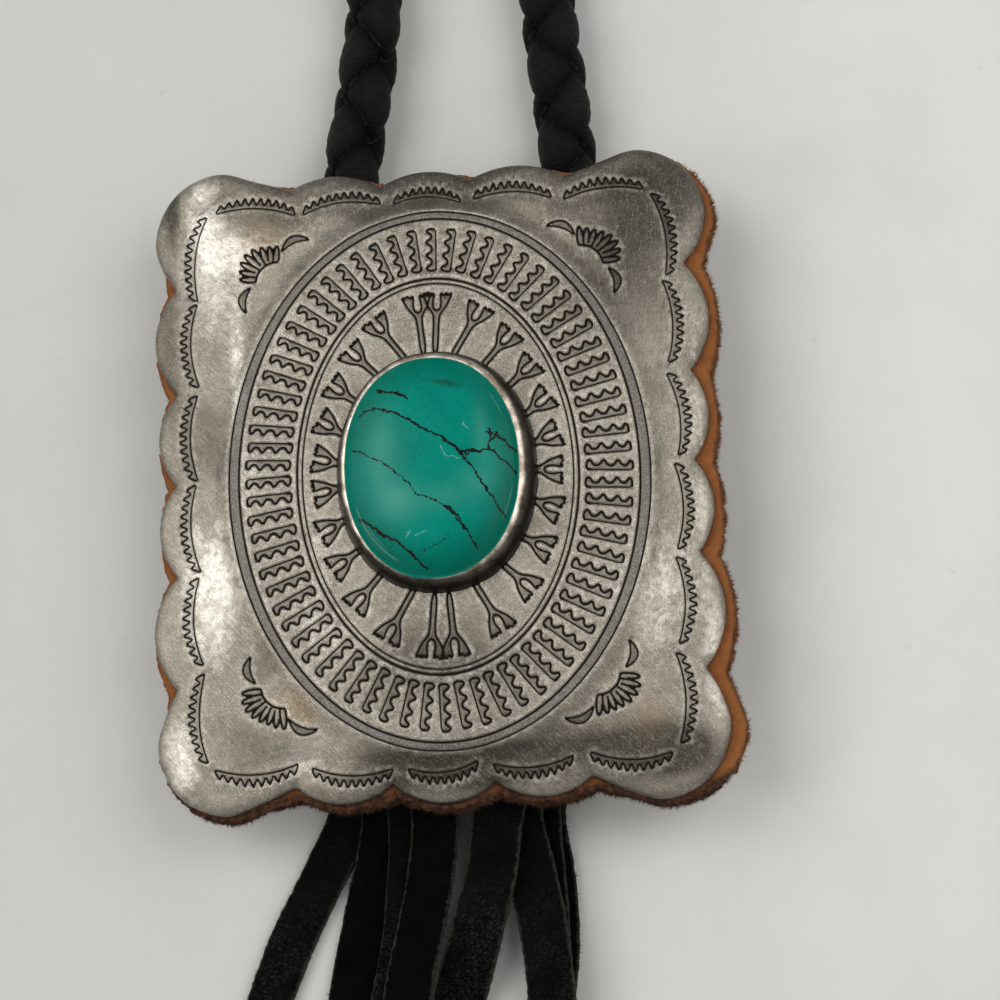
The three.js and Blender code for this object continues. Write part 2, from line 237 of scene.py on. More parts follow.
def metal_material():
    n = Nodes("plate_metal")
    groove, recess, band, stain, green = n.attr("groove"), n.attr("recess"), n.attr("band"), n.attr("stain"), n.attr("green")
    sep = n.t.nodes.new("ShaderNodeSeparateXYZ")
    n.link(n.pos, sep.inputs[0])
    corner = n.math("MULTIPLY", n.math("ADD", sep.outputs[0], sep.outputs[1]), 0.012)
    strokes_v = n.noise(1.0, 4, 0.7, n.mapping(n.mapping(n.pos, (1, 1, 1), (0, 0, 0.10)), (7, 0.8, 1)))
    strokes_d = n.noise(1.0, 4, 0.7, n.mapping(n.mapping(n.pos, (1, 1, 1), (0, 0, 0.85)), (0.7, 7, 1)))
    where = n.ramp(n.math("ADD", n.noise(0.05, 2, 0.5), corner), [(0.52, 0), (0.72, 1)])
    strokes = n.mix(where, strokes_d, strokes_v)
    speck = n.noise(5.5, 4, 0.7)
    cloud = n.noise(0.13, 5, 0.62)
    mottle = n.noise(1.1, 5, 0.7)
    pit = n.ramp(n.noise(2.6, 2, 0.5), [(0.69, 0), (0.74, 1)])
    # painted reflections: blobs set in plate() paint highlights where positive and dark reflections where negative;
    # they also lower the roughness a little
    polish_and_painted_reflection = n.attr("polish_and_painted_reflection")
    broken = n.ramp(n.noise(0.30, 3, 0.6, dist=0.8), [(0.36, 0.45), (0.60, 1.0)])
    painted_reflection_and_mottle = n.math("ADD", n.math("ADD", n.math("MULTIPLY", n.math("MAXIMUM", polish_and_painted_reflection, 0.0), broken), n.math("MINIMUM", polish_and_painted_reflection, 0.0)), n.math("MULTIPLY", n.math("SUBTRACT", mottle, 0.5), 0.45))
    base = n.mix(n.ramp(cloud, [(0.35, 0), (0.66, 1)]), (0.235, 0.211, 0.175), (0.345, 0.313, 0.268))
    # painted highlight
    base = n.mix(n.ramp(painted_reflection_and_mottle, [(0.16, 0), (0.97, 1)]), base, (0.90, 0.855, 0.775))
    # painted dark reflection
    base = n.mix(n.math("MULTIPLY", n.ramp(n.math("MULTIPLY", painted_reflection_and_mottle, -1.0), [(0.03, 0), (0.62, 1)]), 0.93), base, (0.026, 0.023, 0.018))
    base = n.mix(n.math("MULTIPLY", n.ramp(mottle, [(0.36, 1), (0.52, 0)]), 0.32), base, (0.15, 0.132, 0.11))
    base = n.mix(n.math("MULTIPLY", n.ramp(speck, [(0.38, 1), (0.54, 0)]), 0.26), base, (0.085, 0.074, 0.061))
    base = n.mix(n.math("MULTIPLY", n.ramp(speck, [(0.56, 0), (0.68, 1)]), 0.30), base, (0.74, 0.70, 0.63))
    base = n.mix(n.math("MULTIPLY", n.ramp(strokes, [(0.38, 1), (0.50, 0)]), 0.28), base, (0.12, 0.106, 0.09))
    base = n.mix(n.math("MULTIPLY", n.ramp(strokes, [(0.56, 0), (0.66, 1)]), 0.22), base, (0.70, 0.66, 0.59))
    base = n.mix(n.math("MULTIPLY", pit, 0.7), base, (0.05, 0.043, 0.035))
    base = n.mix(n.math("MULTIPLY", stain, 0.55), base, (0.22, 0.15, 0.075))
    # painted highlight along the raised lip beside each stamp
    base = n.mix(n.math("MULTIPLY", n.attr("painted_lip_highlight"), n.ramp(mottle, [(0.38, 0.03), (0.64, 0.38)])), base, (0.76, 0.72, 0.645))
    base = n.mix(n.math("MULTIPLY", band, 0.72), base, n.mix(n.ramp(speck, [(0.40, 0), (0.58, 1)]), (0.070, 0.066, 0.060), (0.30, 0.285, 0.26)))
    base = n.mix(n.math("MULTIPLY", recess, 0.80), base, (0.030, 0.026, 0.021))
    base = n.mix(n.math("MULTIPLY", green, 0.8), base, (0.05, 0.20, 0.16))
    base = n.mix(n.ramp(groove, [(0.10, 0), (0.52, 1)]), base, (0.016, 0.013, 0.010))
    rough = n.math("ADD", n.math("MULTIPLY", cloud, 0.12), 0.12)
    rough = n.math("ADD", rough, n.math("MULTIPLY", strokes, 0.10))
    rough = n.math("ADD", rough, n.math("MULTIPLY", speck, 0.06))
    rough = n.math("SUBTRACT", rough, n.math("MULTIPLY", polish_and_painted_reflection, 0.05))
    rough = n.math("ADD", rough, n.math("MULTIPLY", band, 0.18))
    rough = n.math("ADD", rough, n.math("MULTIPLY", groove, 0.4), clamp=True)
    nb = n.bump(strokes, 0.45, 0.00008)
    nb = n.bump(speck, 0.75, 0.00010, nb)
    nb = n.bump(mottle, 0.28, 0.00025, nb)
    nb = n.bump(n.math("MULTIPLY", n.noise(6.0, 2, 0.6), band), 0.9, 0.00012, nb)
    nb = n.bump(n.noise(0.40, 2, 0.5), 0.34, 0.0007, nb)
    n.set(Base_Color=base, Metallic=1.0, Roughness=rough, Normal=nb)
    return n.mat


def bezel_material():
    n = Nodes("bezel_metal")
    dark = n.attr("dark")
    cloud, speck = n.noise(0.5, 4, 0.6), n.noise(6, 4, 0.7)
    streak = n.noise(1.0, 3, 0.6, n.mapping(n.pos, (3.5, 3.5, 0.3)))
    base = n.mix(n.ramp(cloud, [(0.42, 0), (0.60, 1)]), (0.36, 0.295, 0.235), (0.86, 0.77, 0.67))
    base = n.mix(n.math("MULTIPLY", n.ramp(speck, [(0.38, 1), (0.6, 0)]), 0.45), base, (0.14, 0.105, 0.07))
    base = n.mix(dark, base, n.mix(n.ramp(streak, [(0.4, 0), (0.65, 1)]), (0.003, 0.0025, 0.002), (0.014, 0.011, 0.008)))
    nb = n.bump(speck, 0.4, 0.00006)
    nb = n.bump(cloud, 0.3, 0.0002, nb)
    n.set(Base_Color=base, Metallic=1.0, Roughness=n.math("ADD", n.math("MULTIPLY", speck, 0.2), 0.24), Normal=nb)
    return n.mat


def stone_material():
    n = Nodes("teal_stone")
    vein, smudge, painted_milky_reflection, scr = n.attr("vein"), n.attr("smudge"), n.attr("painted_milky_reflection"), n.attr("scratch")
    cloud, fine = n.noise(0.16, 4, 0.6, dist=0.6), n.noise(1.6, 5, 0.65)
    dots = n.ramp(n.voronoi(0.75), [(0.045, 1), (0.085, 0)])
    base = n.mix(n.ramp(cloud, [(0.3, 0), (0.7, 1)]), (0.0, 0.168, 0.128), (0.001, 0.218, 0.170))
    base = n.mix(n.math("MULTIPLY", n.ramp(fine, [(0.5, 0), (0.8, 1)]), 0.3), base, (0.02, 0.28, 0.21))
    # painted reflection: pale milky patches on the stone
    base = n.mix(n.math("MULTIPLY", painted_milky_reflection, 0.60), base, (0.085, 0.315, 0.255))
    base = n.mix(n.math("MULTIPLY", dots, 0.22), base, (0.10, 0.42, 0.36))
    base = n.mix(smudge, base, (0.012, 0.035, 0.03))
    base = n.mix(n.math("MULTIPLY", n.attr("shade"), 0.75), base, (0.0, 0.075, 0.050))
    v = n.ramp(n.math("ADD", vein, n.math("MULTIPLY", n.math("SUBTRACT", n.noise(3.2, 3, 0.6), 0.5), 0.35)), [(0.40, 0), (0.60, 1)])
    base = n.mix(v, base, (0.010, 0.010, 0.008))
    base = n.mix(n.math("MULTIPLY", scr, 0.55), base, (0.35, 0.55, 0.48))
    nb = n.bump(n.noise(0.25, 2, 0.4), 0.05, 0.0005)
    nb = n.bump(n.noise(2.2, 3, 0.6), 0.05, 0.0001, nb)
    nb = n.bump(v, -0.25, 0.00004, nb)
    n.set(Base_Color=base, Roughness=n.math("ADD", n.math("MULTIPLY", fine, 0.14), 0.20), Normal=nb, Metallic=0.0)
    n.bsdf.inputs["IOR"].default_value = 1.5
    n.bsdf.inputs["Specular IOR Level"].default_value = 0.05
    n.bsdf.inputs["Coat Weight"].default_value = 0.02
    n.bsdf.inputs["Coat Roughness"].default_value = 0.05
    return n.mat


def tan_material(name, fuzz=False):
    n = Nodes(name)
    edge = n.attr("edge")
    cloud, grain = n.noise(0.5, 5, 0.65), n.noise(5.5, 5, 0.7)
    fibre = n.noise(1.0, 4, 0.7, n.mapping(n.pos, (4, 4, 9)))
    base = n.mix(n.ramp(cloud, [(0.3, 0), (0.7, 1)]), (0.30, 0.098, 0.026), (0.43, 0.165, 0.050))
    base = n.mix(n.math("MULTIPLY", n.ramp(grain, [(0.35, 1), (0.6, 0)]), 0.35), base, (0.16, 0.052, 0.016))
    rawc = n.mix(n.ramp(fibre, [(0.3, 0), (0.7, 1)]), (0.110, 0.042, 0.016), (0.34, 0.135, 0.048))
    sy = n.t.nodes.new("ShaderNodeSeparateXYZ")
    n.link(n.pos, sy.inputs[0])
    # painted shade under the plate's lower edge: below y = -38.5 mm the raw-edge colour turns darker and covers more of
    # the top
    painted_shade_low = n.ramp(n.math("MULTIPLY", sy.outputs[1], -0.01), [(0.385, 0), (0.415, 1)])
    rawc = n.mix(n.math("MULTIPLY", painted_shade_low, 0.88), rawc, n.mix(n.ramp(n.noise(1.3, 4, 0.7), [(0.42, 0), (0.58, 1)]), (0.007, 0.003, 0.002), (0.090, 0.038, 0.018)))
    raw_edge_and_shade = n.math("ADD", edge, n.math("MULTIPLY", painted_shade_low, 0.5))
    base = n.mix(n.ramp(n.math("ADD", raw_edge_and_shade, n.math("MULTIPLY", n.math("SUBTRACT", cloud, 0.5), 0.6)), [(0.30, 0), (0.62, 1)]), base, rawc)
    nb = n.bump(grain, 0.5, 0.0002)
    nb = n.bump(fibre, 0.9, 0.0005, nb)
    n.set(Base_Color=base, Roughness=0.85, Normal=nb)
    n.bsdf.inputs["Specular IOR Level"].default_value = 0.15
    n.bsdf.inputs["Sheen Weight"].default_value = 0.03
    n.bsdf.inputs["Sheen Roughness"].default_value = 0.6
    return n.mat


def black_material(name, level=0.04, tint=1.0):
    n = Nodes(name)
    edge, sued, crk_and_sheen = n.attr("edge"), n.attr("suede"), n.attr("crackle_and_sheen")
    warp = n.noise(0.7, 3, 0.6)
    n2 = n.t.nodes.new("ShaderNodeVectorMath")
    n2.operation = "ADD"
    n.link(n.pos, n2.inputs[0])
    n.link(warp, n2.inputs[1])
    cells = n.voronoi(1.5, n.mapping(n2.outputs[0], (0.85, 1.45, 1)), feature="DISTANCE_TO_EDGE")
    crease_and_shade = n.math("MULTIPLY", n.ramp(cells, [(0.0, 1), (0.16, 0)]), crk_and_sheen)
    grain = n.voronoi(3.2, feature="F1")
    fine, cloud = n.noise(9, 5, 0.7), n.noise(0.35, 4, 0.6)
    wrinkle = n.noise(1.0, 5, 0.65, n.mapping(n.pos, (0.5, 2.2, 1.0)))
    base = n.mix(n.ramp(cloud, [(0.3, 0), (0.7, 1)]), (0.0010 * tint, 0.0011 * tint, 0.0011 * tint), (0.0034 * tint, 0.0035 * tint, 0.0034 * tint))
    base = n.mix(n.math("MULTIPLY", sued, n.ramp(fine, [(0.45, 0), (0.8, 1)])), base, (0.0062, 0.0058, 0.0048))
    # painted highlight: the crackled cells are lighter, standing for the sheen on their tops
    painted_cell_highlight = n.math("MULTIPLY", n.ramp(cells, [(0.05, 0), (0.22, 1)]), n.ramp(n.noise(0.30, 3, 0.6), [(0.40, 0.10), (0.60, 1)]))
    base = n.mix(n.math("MULTIPLY", n.math("MULTIPLY", painted_cell_highlight, crk_and_sheen), n.ramp(fine, [(0.35, 0.35), (0.65, 1)])), base, (0.023, 0.023, 0.024))
    # painted highlight on the crown of each braid strand
    painted_crown_highlight = n.math("MULTIPLY", n.attr("painted_crown_highlight"), n.ramp(n.math("ADD", n.math("MULTIPLY", fine, 0.5), n.math("MULTIPLY", wrinkle, 0.5)), [(0.36, 0.25), (0.62, 1)]))
    base = n.mix(painted_crown_highlight, base, (0.0165, 0.0172, 0.0168))
    # painted shade in the creases of the crackled grain
    base = n.mix(n.math("MULTIPLY", crease_and_shade, 0.9), base, (0.0004, 0.0004, 0.0004))
    glint = n.math("MULTIPLY", n.ramp(n.noise(2.6, 3, 0.6), [(0.58, 0), (0.70, 1)]), n.math("SUBTRACT", 1.0, sued))
    base = n.mix(n.math("MULTIPLY", glint, 0.5), base, (0.021, 0.021, 0.0215))
    base = n.mix(n.math("MULTIPLY", n.ramp(n.math("ADD", edge, n.math("MULTIPLY", n.math("SUBTRACT", n.noise(1.2, 4, 0.6), 0.5), 0.9)), [(0.72, 0), (1.05, 1)]), 0.85), base, (0.046, 0.043, 0.036))
    rough = n.math("ADD", n.math("MULTIPLY", fine, 0.14), n.math("ADD", 0.38, n.math("MULTIPLY", sued, 0.45)), clamp=True)
    nb = n.bump(grain, 0.7, 0.0002)
    nb = n.bump(wrinkle, 0.8, 0.0006, nb)
    nb = n.bump(fine, 0.7, 0.00015, nb)
    nb = n.bump(crease_and_shade, -1.0, 0.0005, nb)
    n.set(Base_Color=base, Roughness=rough, Normal=nb)
    n.bsdf.inputs["Specular IOR Level"].default_value = level
    return n.mat


# ---- the braided cord --------------------------------------------------------
ZF, ZK = CORD_D / 2 + 0.1, KEEPER_T + GAP + CORD_D / 2
CORD = [(-9.0, -24, ZK), (-10.5, -12, ZK), (-10.5, 12, ZK), (-11.9, 30, 4.9), (-11.6, 45, ZF), (-9.4, 58, ZF),
        (-7.8, 71, ZF), (-8.2, 92, ZF), (-14, 125, ZF), (-23, 165, ZF), (-30, 205, ZF), (-29, 241, ZF),
        (-17, 268, ZF), (4, 279, ZF), (25, 268, ZF), (37, 241, ZF), (38, 205, ZF), (31, 165, ZF),
        (22, 125, ZF), (17, 92, ZF), (16.7, 71, ZF), (17.8, 58, ZF), (18.8, 45, ZF), (18.0, 30, 4.9),
        (15.5, 12, ZK), (15.5, -12, ZK), (13.8, -24, ZK)]
black = black_material("black_leather")
suede_black = black_material("black_suede", 0.02)
braid_black = black_material("black_braid", 0.06, 0.5)
BRAID = dict(pitch=23.4, r=2.62, dr=0.74, w=6.9, t=1.45, flat=0.30, left=(61.6, 59.0))


def braid():
    step = 0.8
    path = catmull(CORD, step)
    n = len(path)
    s = np.arange(n) * (np.linalg.norm(np.diff(path, axis=0), axis=1).mean())
    tan = np.gradient(path, axis=0)
    tan /= np.linalg.norm(tan, axis=1)[:, None]
    up = np.array([0, 0, 1.0])
    side = np.cross(tan, up)
    side /= np.linalg.norm(side, axis=1)[:, None]
    upv = np.cross(side, tan)
    length = s[-1]
    prof = [(-1, -.42), (-1.02, -.15), (-.98, .14), (-.9, .30), (-.7, .42), (-.38, .54), (0, .60), (.38, .54), (.7, .42), (.9, .30), (.98, .14), (1.02, -.15), (1, -.42), (.5, -.5), (-.5, -.5)]
    edge = [1, 1, 1, .6, .2, 0, 0, 0, .2, .6, 1, 1, 1, .5, .5]
    # painted highlight across each strand's crown
    painted_crown_highlight = [0, 0, 0, .15, .55, .9, 1, .9, .55, .15, 0, 0, 0, 0, 0]
    B = BRAID
    alpha = math.atan(2 * math.pi * 3.3 / B["pitch"])
    # the first facet on the left column of the left leg sits at this height
    k0 = int(np.argmin(np.abs(path[: n // 3, 1] - B["left"][0])))
    s_facet = s[k0]
    phase = {1: -math.pi / 4 - 2 * math.pi * s_facet / B["pitch"]}
    phase[-1] = math.pi / 2 - phase[1]
    verts, faces, eattr, cattr = [], [], [], []

    def at(sv, arr):
        return np.stack([np.interp(sv, s, arr[:, k]) for k in range(3)], -1)

    for h in (1, -1):
        for i in (0, 1):
            base = len(verts)
            for k in range(n):
                s0 = s[k]
                th = h * 2 * math.pi * s0 / B["pitch"] + math.pi * i + phase[h]
                wv = B["w"] * (1 + 0.05 * math.sin(s0 * 0.9 + i * 2 + h))
                for (u, w) in prof:
                    uu = u * wv / 2
                    ss = s0 - h * uu * math.sin(alpha)
                    ss = min(max(ss, 0), length)
                    t2 = th + uu * math.cos(alpha) / 3.3
                    tc = th
                    rr = B["r"] + B["dr"] * math.tanh(1.7 * math.cos(2 * (tc + h * math.pi / 4))) / 0.935 - 0.30 * abs(u) ** 3
                    r1 = rr + w * B["t"]
                    verts.append((ss, t2, tc, r1, uu * math.cos(alpha)))
                eattr += edge
                # the painted highlight is stronger on strands at one angle round the cord
                front = max(0.0, math.cos(2 * (th + h * math.pi / 4))) ** 0.6
                cattr += [c * (0.25 + 0.75 * front) for c in painted_crown_highlight]
            m_ = len(prof)
            for k in range(n - 1):
                for j in range(m_):
                    a, b = base + k * m_ + j, base + k * m_ + (j + 1) % m_
                    faces.append((a, b, b + m_, a + m_))
            faces.append([base + j for j in range(m_)][::-1])
            faces.append([base + (n - 1) * m_ + j for j in range(m_)])
    V = np.array(verts)
    C, U, S = at(V[:, 0], path), at(V[:, 0], upv), at(V[:, 0], side)
    r1 = V[:, 3]
    rnd = C + (r1 * np.cos(V[:, 1]))[:, None] * U + (r1 * np.sin(V[:, 1]))[:, None] * S
    tcn = V[:, 2]
    flat = C + (r1 * np.cos(tcn) - V[:, 4] * np.sin(tcn))[:, None] * U + (r1 * np.sin(tcn) + V[:, 4] * np.cos(tcn))[:, None] * S
    P = rnd * (1 - B["flat"]) + flat * B["flat"]
    P[:, 2] = np.maximum(P[:, 2], 0.02)
    ob = make("braid_strands", P, faces, {"edge": np.array(eattr) * 0.8, "suede": np.zeros(len(eattr)), "crackle_and_sheen": np.zeros(len(eattr)), "painted_crown_highlight": np.array(cattr)})
    finish_piece(ob, braid_black, "braided_cord")
    return length


CORD_LENGTH = braid()


# ---- scalloped outline and the plate's face -----------------------------------
PLATE_MARGIN = dict(x=0, y=0, nx=0, ny=0, dx=0, dy=0, corner=0)
LEATHER_MARGIN = dict(x=0.6, y=0.2, nx=1.85, ny=1.05, dx=0.55, dy=-0.45, corner=0.8)


def outline(mg, step):
    def shift(nt):
        x, y = nt[0], nt[1]
        return np.array([x + math.copysign(mg["nx"], x), y]) if abs(x) > 30 else np.array([x, y + math.copysign(mg["ny"], y)])
    pts = []
    for i, nt in enumerate(NOTCHES):
        mt = NOTCHES[(i + 1) % len(NOTCHES)]
        a, b = shift(nt), shift(mt)
        if nt[2] > 0:
            u = b - a
            out = np.array([-u[1], u[0]]) / np.linalg.norm(u)
            h = nt[2] + (mg["x"] - mg["nx"] if abs(nt[0]) > 30 else mg["y"] - mg["ny"])
            for t in (0.5 - 0.5 * np.cos(np.linspace(0, np.pi, 61)))[:-1]:
                pts.append(a + u * t + out * h * math.sin(math.pi * t) ** 0.8)
        else:
            sx, sy = np.sign(nt[0] + mt[0]), np.sign(nt[1] + mt[1])
            extra = mg["corner"] if sx > 0 > sy else 0
            mid = [np.array([sx * c[0], sy * c[1]]) for c in CORNER]
            if abs(nt[0]) < abs(mt[0]):
                mid = mid[::-1]
            ctr = np.array([sx * 27, sy * 33])
            mid = [q + (q - ctr) / np.linalg.norm(q - ctr) * np.array([mg["x"] + extra, mg["y"]]) for q in mid]
            pts += list(catmull([(*a, 0), *[(*q, 0) for q in mid], (*b, 0)], 0.2)[:-1, :2])
    return resample(np.array(pts) + np.array([mg["dx"], mg["dy"]]), step, closed=True)


def smooth(t):
    t = np.clip(t, 0, 1)
    return t * t * (3 - 2 * t)


def face_height(x, y, s):
    e = 1 - np.minimum(s, RIM_W) / RIM_W
    r = np.hypot((x - RING["x"]) / RING["a"], (y - RING["y"]) / RING["b"])
    return (RIM_H * np.sqrt(np.maximum(0, 1 - e * e)) + LAND_RISE * smooth((s - RIM_W) / 5)
            + STEP_RISE * smooth((1.09 - r) / 0.09) + DOME_RISE * np.maximum(0, 1 - r * r))


BEZEL_BASE = float(face_height(RING["x"] + BEZEL["a"], RING["y"], 20.0))
EDGE_TOP = PLATE_Z + 0.25


def ell(rho_a, rho_b, n):
    t = np.linspace(0, 2 * np.pi, n, endpoint=False)
    return np.stack([RING["x"] + rho_a * np.sin(t), RING["y"] + rho_b * np.cos(t)], 1)


def ell_at(a, b, deg):
    t = math.radians(deg)
    return np.array([RING["x"] + a * math.sin(t), RING["y"] + b * math.cos(t)])


# Stamps. Each gives closed outlines in millimetres.
def round_corners(pts, it=1):
    p = np.array(pts, float)
    for _ in range(it):
        q = []
        for i in range(len(p)):
            a, b = p[i], p[(i + 1) % len(p)]
            q += [a * 0.78 + b * 0.22, a * 0.22 + b * 0.78]
        p = np.array(q)
    return p


# Border arcs, clockwise: the two ends of each smooth line, at most 10 teeth outside it.
ARCS = [(-28.6, 37.4, -17.9, 36.7), (-16.8, 36.7, -6.25, 37.6), (-4.5, 37.5, 4.6, 37.05), (6.3, 37.6, 16.8, 37.1), (18.4, 36.8, 29.1, 37.4),
        (30.0, 36.75, 31.5, 25.5), (31.05, 24.7, 31.3, 13.5), (31.0, 12.0, 32.0, 0.9), (31.45, -0.15, 31.3, -11.55), (31.1, -12.6, 30.95, -23.95), (30.5, -25.1, 30.5, -36.8),
        (29.5, -37.8, 19.0, -37.3), (16.8, -37.7, 6.5, -38.3), (4.6, -37.9, -4.4, -38.5), (-6.45, -38.4, -16.9, -37.9), (-18.7, -37.3, -29.5, -37.7),
        (-30.3, -36.8, -30.7, -25.1), (-30.85, -24.0, -31.4, -12.35), (-31.15, -11.6, -31.7, 0.15), (-31.45, 0.7, -31.4, 12.4), (-31.2, 13.5, -31.3, 25.0), (-31.3, 25.4, -29.8, 37.0)]
ARC = dict(sag=1.0, valley=0.62, tip=1.55, teeth=10)


def arc_stamp(x0, y0, x1, y1, k):
    a, b = np.array([x0, y0]), np.array([x1, y1])
    u = b - a
    out = np.array([-u[1], u[0]]) / np.linalg.norm(u)

    def on(t, lift):
        return a + u * t + out * (ARC["sag"] * (1 - (2 * t - 1) ** 2) + lift)
    inner = [on(t, 0) for t in np.linspace(0, 1, 22)]
    teeth = []
    n = ARC["teeth"] if np.linalg.norm(u) > 9.6 else 9
    for j in range(n):
        t = (j + 0.5) / n
        tap = 0.62 + 0.38 * math.sin(math.pi * t) ** 0.7
        w = 0.94 / n
        jit = 0.04 * math.sin(7.3 * j + k)
        for dt, h in ((-0.46, ARC["valley"] * 0.8), (-0.16, ARC["tip"] * 0.8), (-0.03, ARC["tip"]), (0.05, ARC["tip"]), (0.18, ARC["tip"] * 0.78), (0.46, ARC["valley"] * 0.8)):
            teeth.append(on(t + dt * w, h * tap + jit))
    return np.array(inner + teeth[::-1])


COMB = [(0.0, 0.0), (1.5, 0.02), (3.0, 0.0), (4.6, 0.02), (6.05, 0.0), (6.3, 0.3), (6.25, 0.95), (6.0, 1.2), (5.75, 1.12), (5.6, 0.75), (5.2, 0.5), (4.75, 0.6), (4.45, 1.05), (4.2, 1.32), (3.95, 1.05),
        (3.6, 0.58), (3.15, 0.48), (2.75, 0.6), (2.45, 1.05), (2.2, 1.32), (1.95, 1.05), (1.6, 0.6), (1.2, 0.5), (0.75, 0.62), (0.5, 1.1), (0.2, 1.25), (-0.1, 1.05), (-0.2, 0.5), (-0.15, 0.15)]
COMBS = 72


def comb_stamps():
    t = np.linspace(0, 2 * np.pi, 2001)
    am, bm = 22.36, 30.6                 # the oval through the combs' middles
    ds = np.hypot(am * np.cos(t[:-1]), bm * np.sin(t[:-1]))
    cum = np.r_[0, np.cumsum(ds)]
    cum /= cum[-1]
    out = []
    for k in range(COMBS):
        tt = np.interp((k + 0.0) / COMBS, cum, t)
        p = np.array([RING["x"] + am * math.sin(tt), RING["y"] + bm * math.cos(tt)])
        nrm = np.array([math.sin(tt) / am, math.cos(tt) / bm])
        nrm /= np.linalg.norm(nrm)
        ang = 0.02 * math.sin(k * 2.7) + 0.015 * math.sin(k * 5.1)
        c, s = math.cos(ang), math.sin(ang)
        nrm = np.array([c * nrm[0] - s * nrm[1], s * nrm[0] + c * nrm[1]])
        ccw = np.array([-nrm[1], nrm[0]])      # teeth on the anticlockwise side
        shift = 0.08 * math.sin(k * 3.9)
        out.append(np.array([p + nrm * ((r - 3.05) * 0.93 + shift) + ccw * (h - 0.55) * 1.06 for r, h in COMB]))
    return out


# Forks: the angles round the ovals, in degrees clockwise from the top, of the heads and of the stem's foot.
FORKS = [(2.3, 0.8), (23.5, 11), (40, 29), (54, 47), (66.5, 64), (79, 78.5), (91, 91), (104, 106), (117, 125), (132, 142), (150.5, 160), (174, 175.3),
         (185.5, 183.2), (206.5, 195), (224.5, 215), (239.5, 232), (252, 249), (265, 264.5), (276.5, 276.5), (289, 290.5), (301.5, 308), (315.5, 326), (330.5, 344), (352.3, 354.3)]
FORK = [(0.34, 8.2), (0.33, 3.3), (0.62, 2.6), (1.25, 1.75), (1.87, 0.2), (1.95, -0.05), (1.72, 0.0), (1.52, 0.34), (1.34, -0.05), (1.2, -0.12), (1.06, 0.0), (0.86, 0.36), (0.62, -0.02), (0.42, -0.05), (0.4, 0.2),
        (0.52, 0.9), (0.56, 1.6), (0.42, 2.15), (0.0, 2.5)]


def fork_stamps():
    out = []
    for hd, ft in FORKS:
        p = ell_at(16.35, 24.35, hd)
        q = ell_at(12.8, 15.7, ft)
        d = (q - p) / np.linalg.norm(q - p)
        r = np.array([-d[1], d[0]])
        pts = [p + r * x + d * y for x, y in FORK] + [p - r * x + d * y for x, y in FORK[::-1][1:]]
        out.append(np.array(pts))
    return out


def fan_stamps():
    outs, rays = [], []
    for sx in (-1, 1):
        for sy in (1, -1):
            d = np.array([sx * 0.65, sy * 0.76])
            d /= np.linalg.norm(d)
            r = np.array([-d[1], d[0]])
            c = np.array([sx * 22.25, sy * 29.4]) - d * 2.5
            def at(ang, rad):
                return c + d * rad * math.cos(ang) + r * rad * math.sin(ang)
            n = 8
            lim = math.radians(50)
            pts = [at(a, 2.55 + 0.12 * abs(a)) for a in np.linspace(lim, -lim, 12)]
            for j in range(n):
                a0, a1 = -lim + 2 * lim * j / n, -lim + 2 * lim * (j + 1) / n
                top = 5.45 - 0.35 * abs((j + 0.5) / n - 0.5) * 2 + 0.28 * math.sin(5.3 * j + 2.1 * sx + 1.3 * sy)
                for f, rad in ((0.04, 0.73), (0.20, 0.89), (0.42, 1.0), (0.58, 1.0), (0.80, 0.89), (0.96, 0.73)):
                    pts.append(at(a0 + (a1 - a0) * f, top * rad))
                if j < n - 1:
                    rays.append(np.array([at(a1, 4.4), at(a1 * 0.95, 2.9 + 0.3 * (j % 2))]))
            outs.append(np.array(pts))
    return outs, rays


def crescent_stamps():
    outs = []
    for sx in (-1, 1):
        for sy in (1, -1):
            for (ax, ay, bx, by, flip) in ((19.75, 31.5, 15.85, 33.0, -1), (23.9, 26.8, 24.5, 23.1, 1)):
                a, b = np.array([sx * ax, sy * ay]), np.array([sx * bx, sy * by])
                u = b - a
                out = np.array([-u[1], u[0]])
                if np.dot(out, a + b) < 0:
                    out = -out
                out /= np.linalg.norm(out)
                t = np.linspace(0, 1, 12)
                o = [a + u * k + out * 1.45 * (1 - (2 * k - 1) ** 2) for k in t]
                i = [a + u * k + out * 0.5 * (1 - (2 * k - 1) ** 2) for k in t[1:-1]]
                outs.append(np.array(o + i[::-1]))
    return outs


HALF = 0.215         # half the width of an engraved line
DEPTH = 0.24


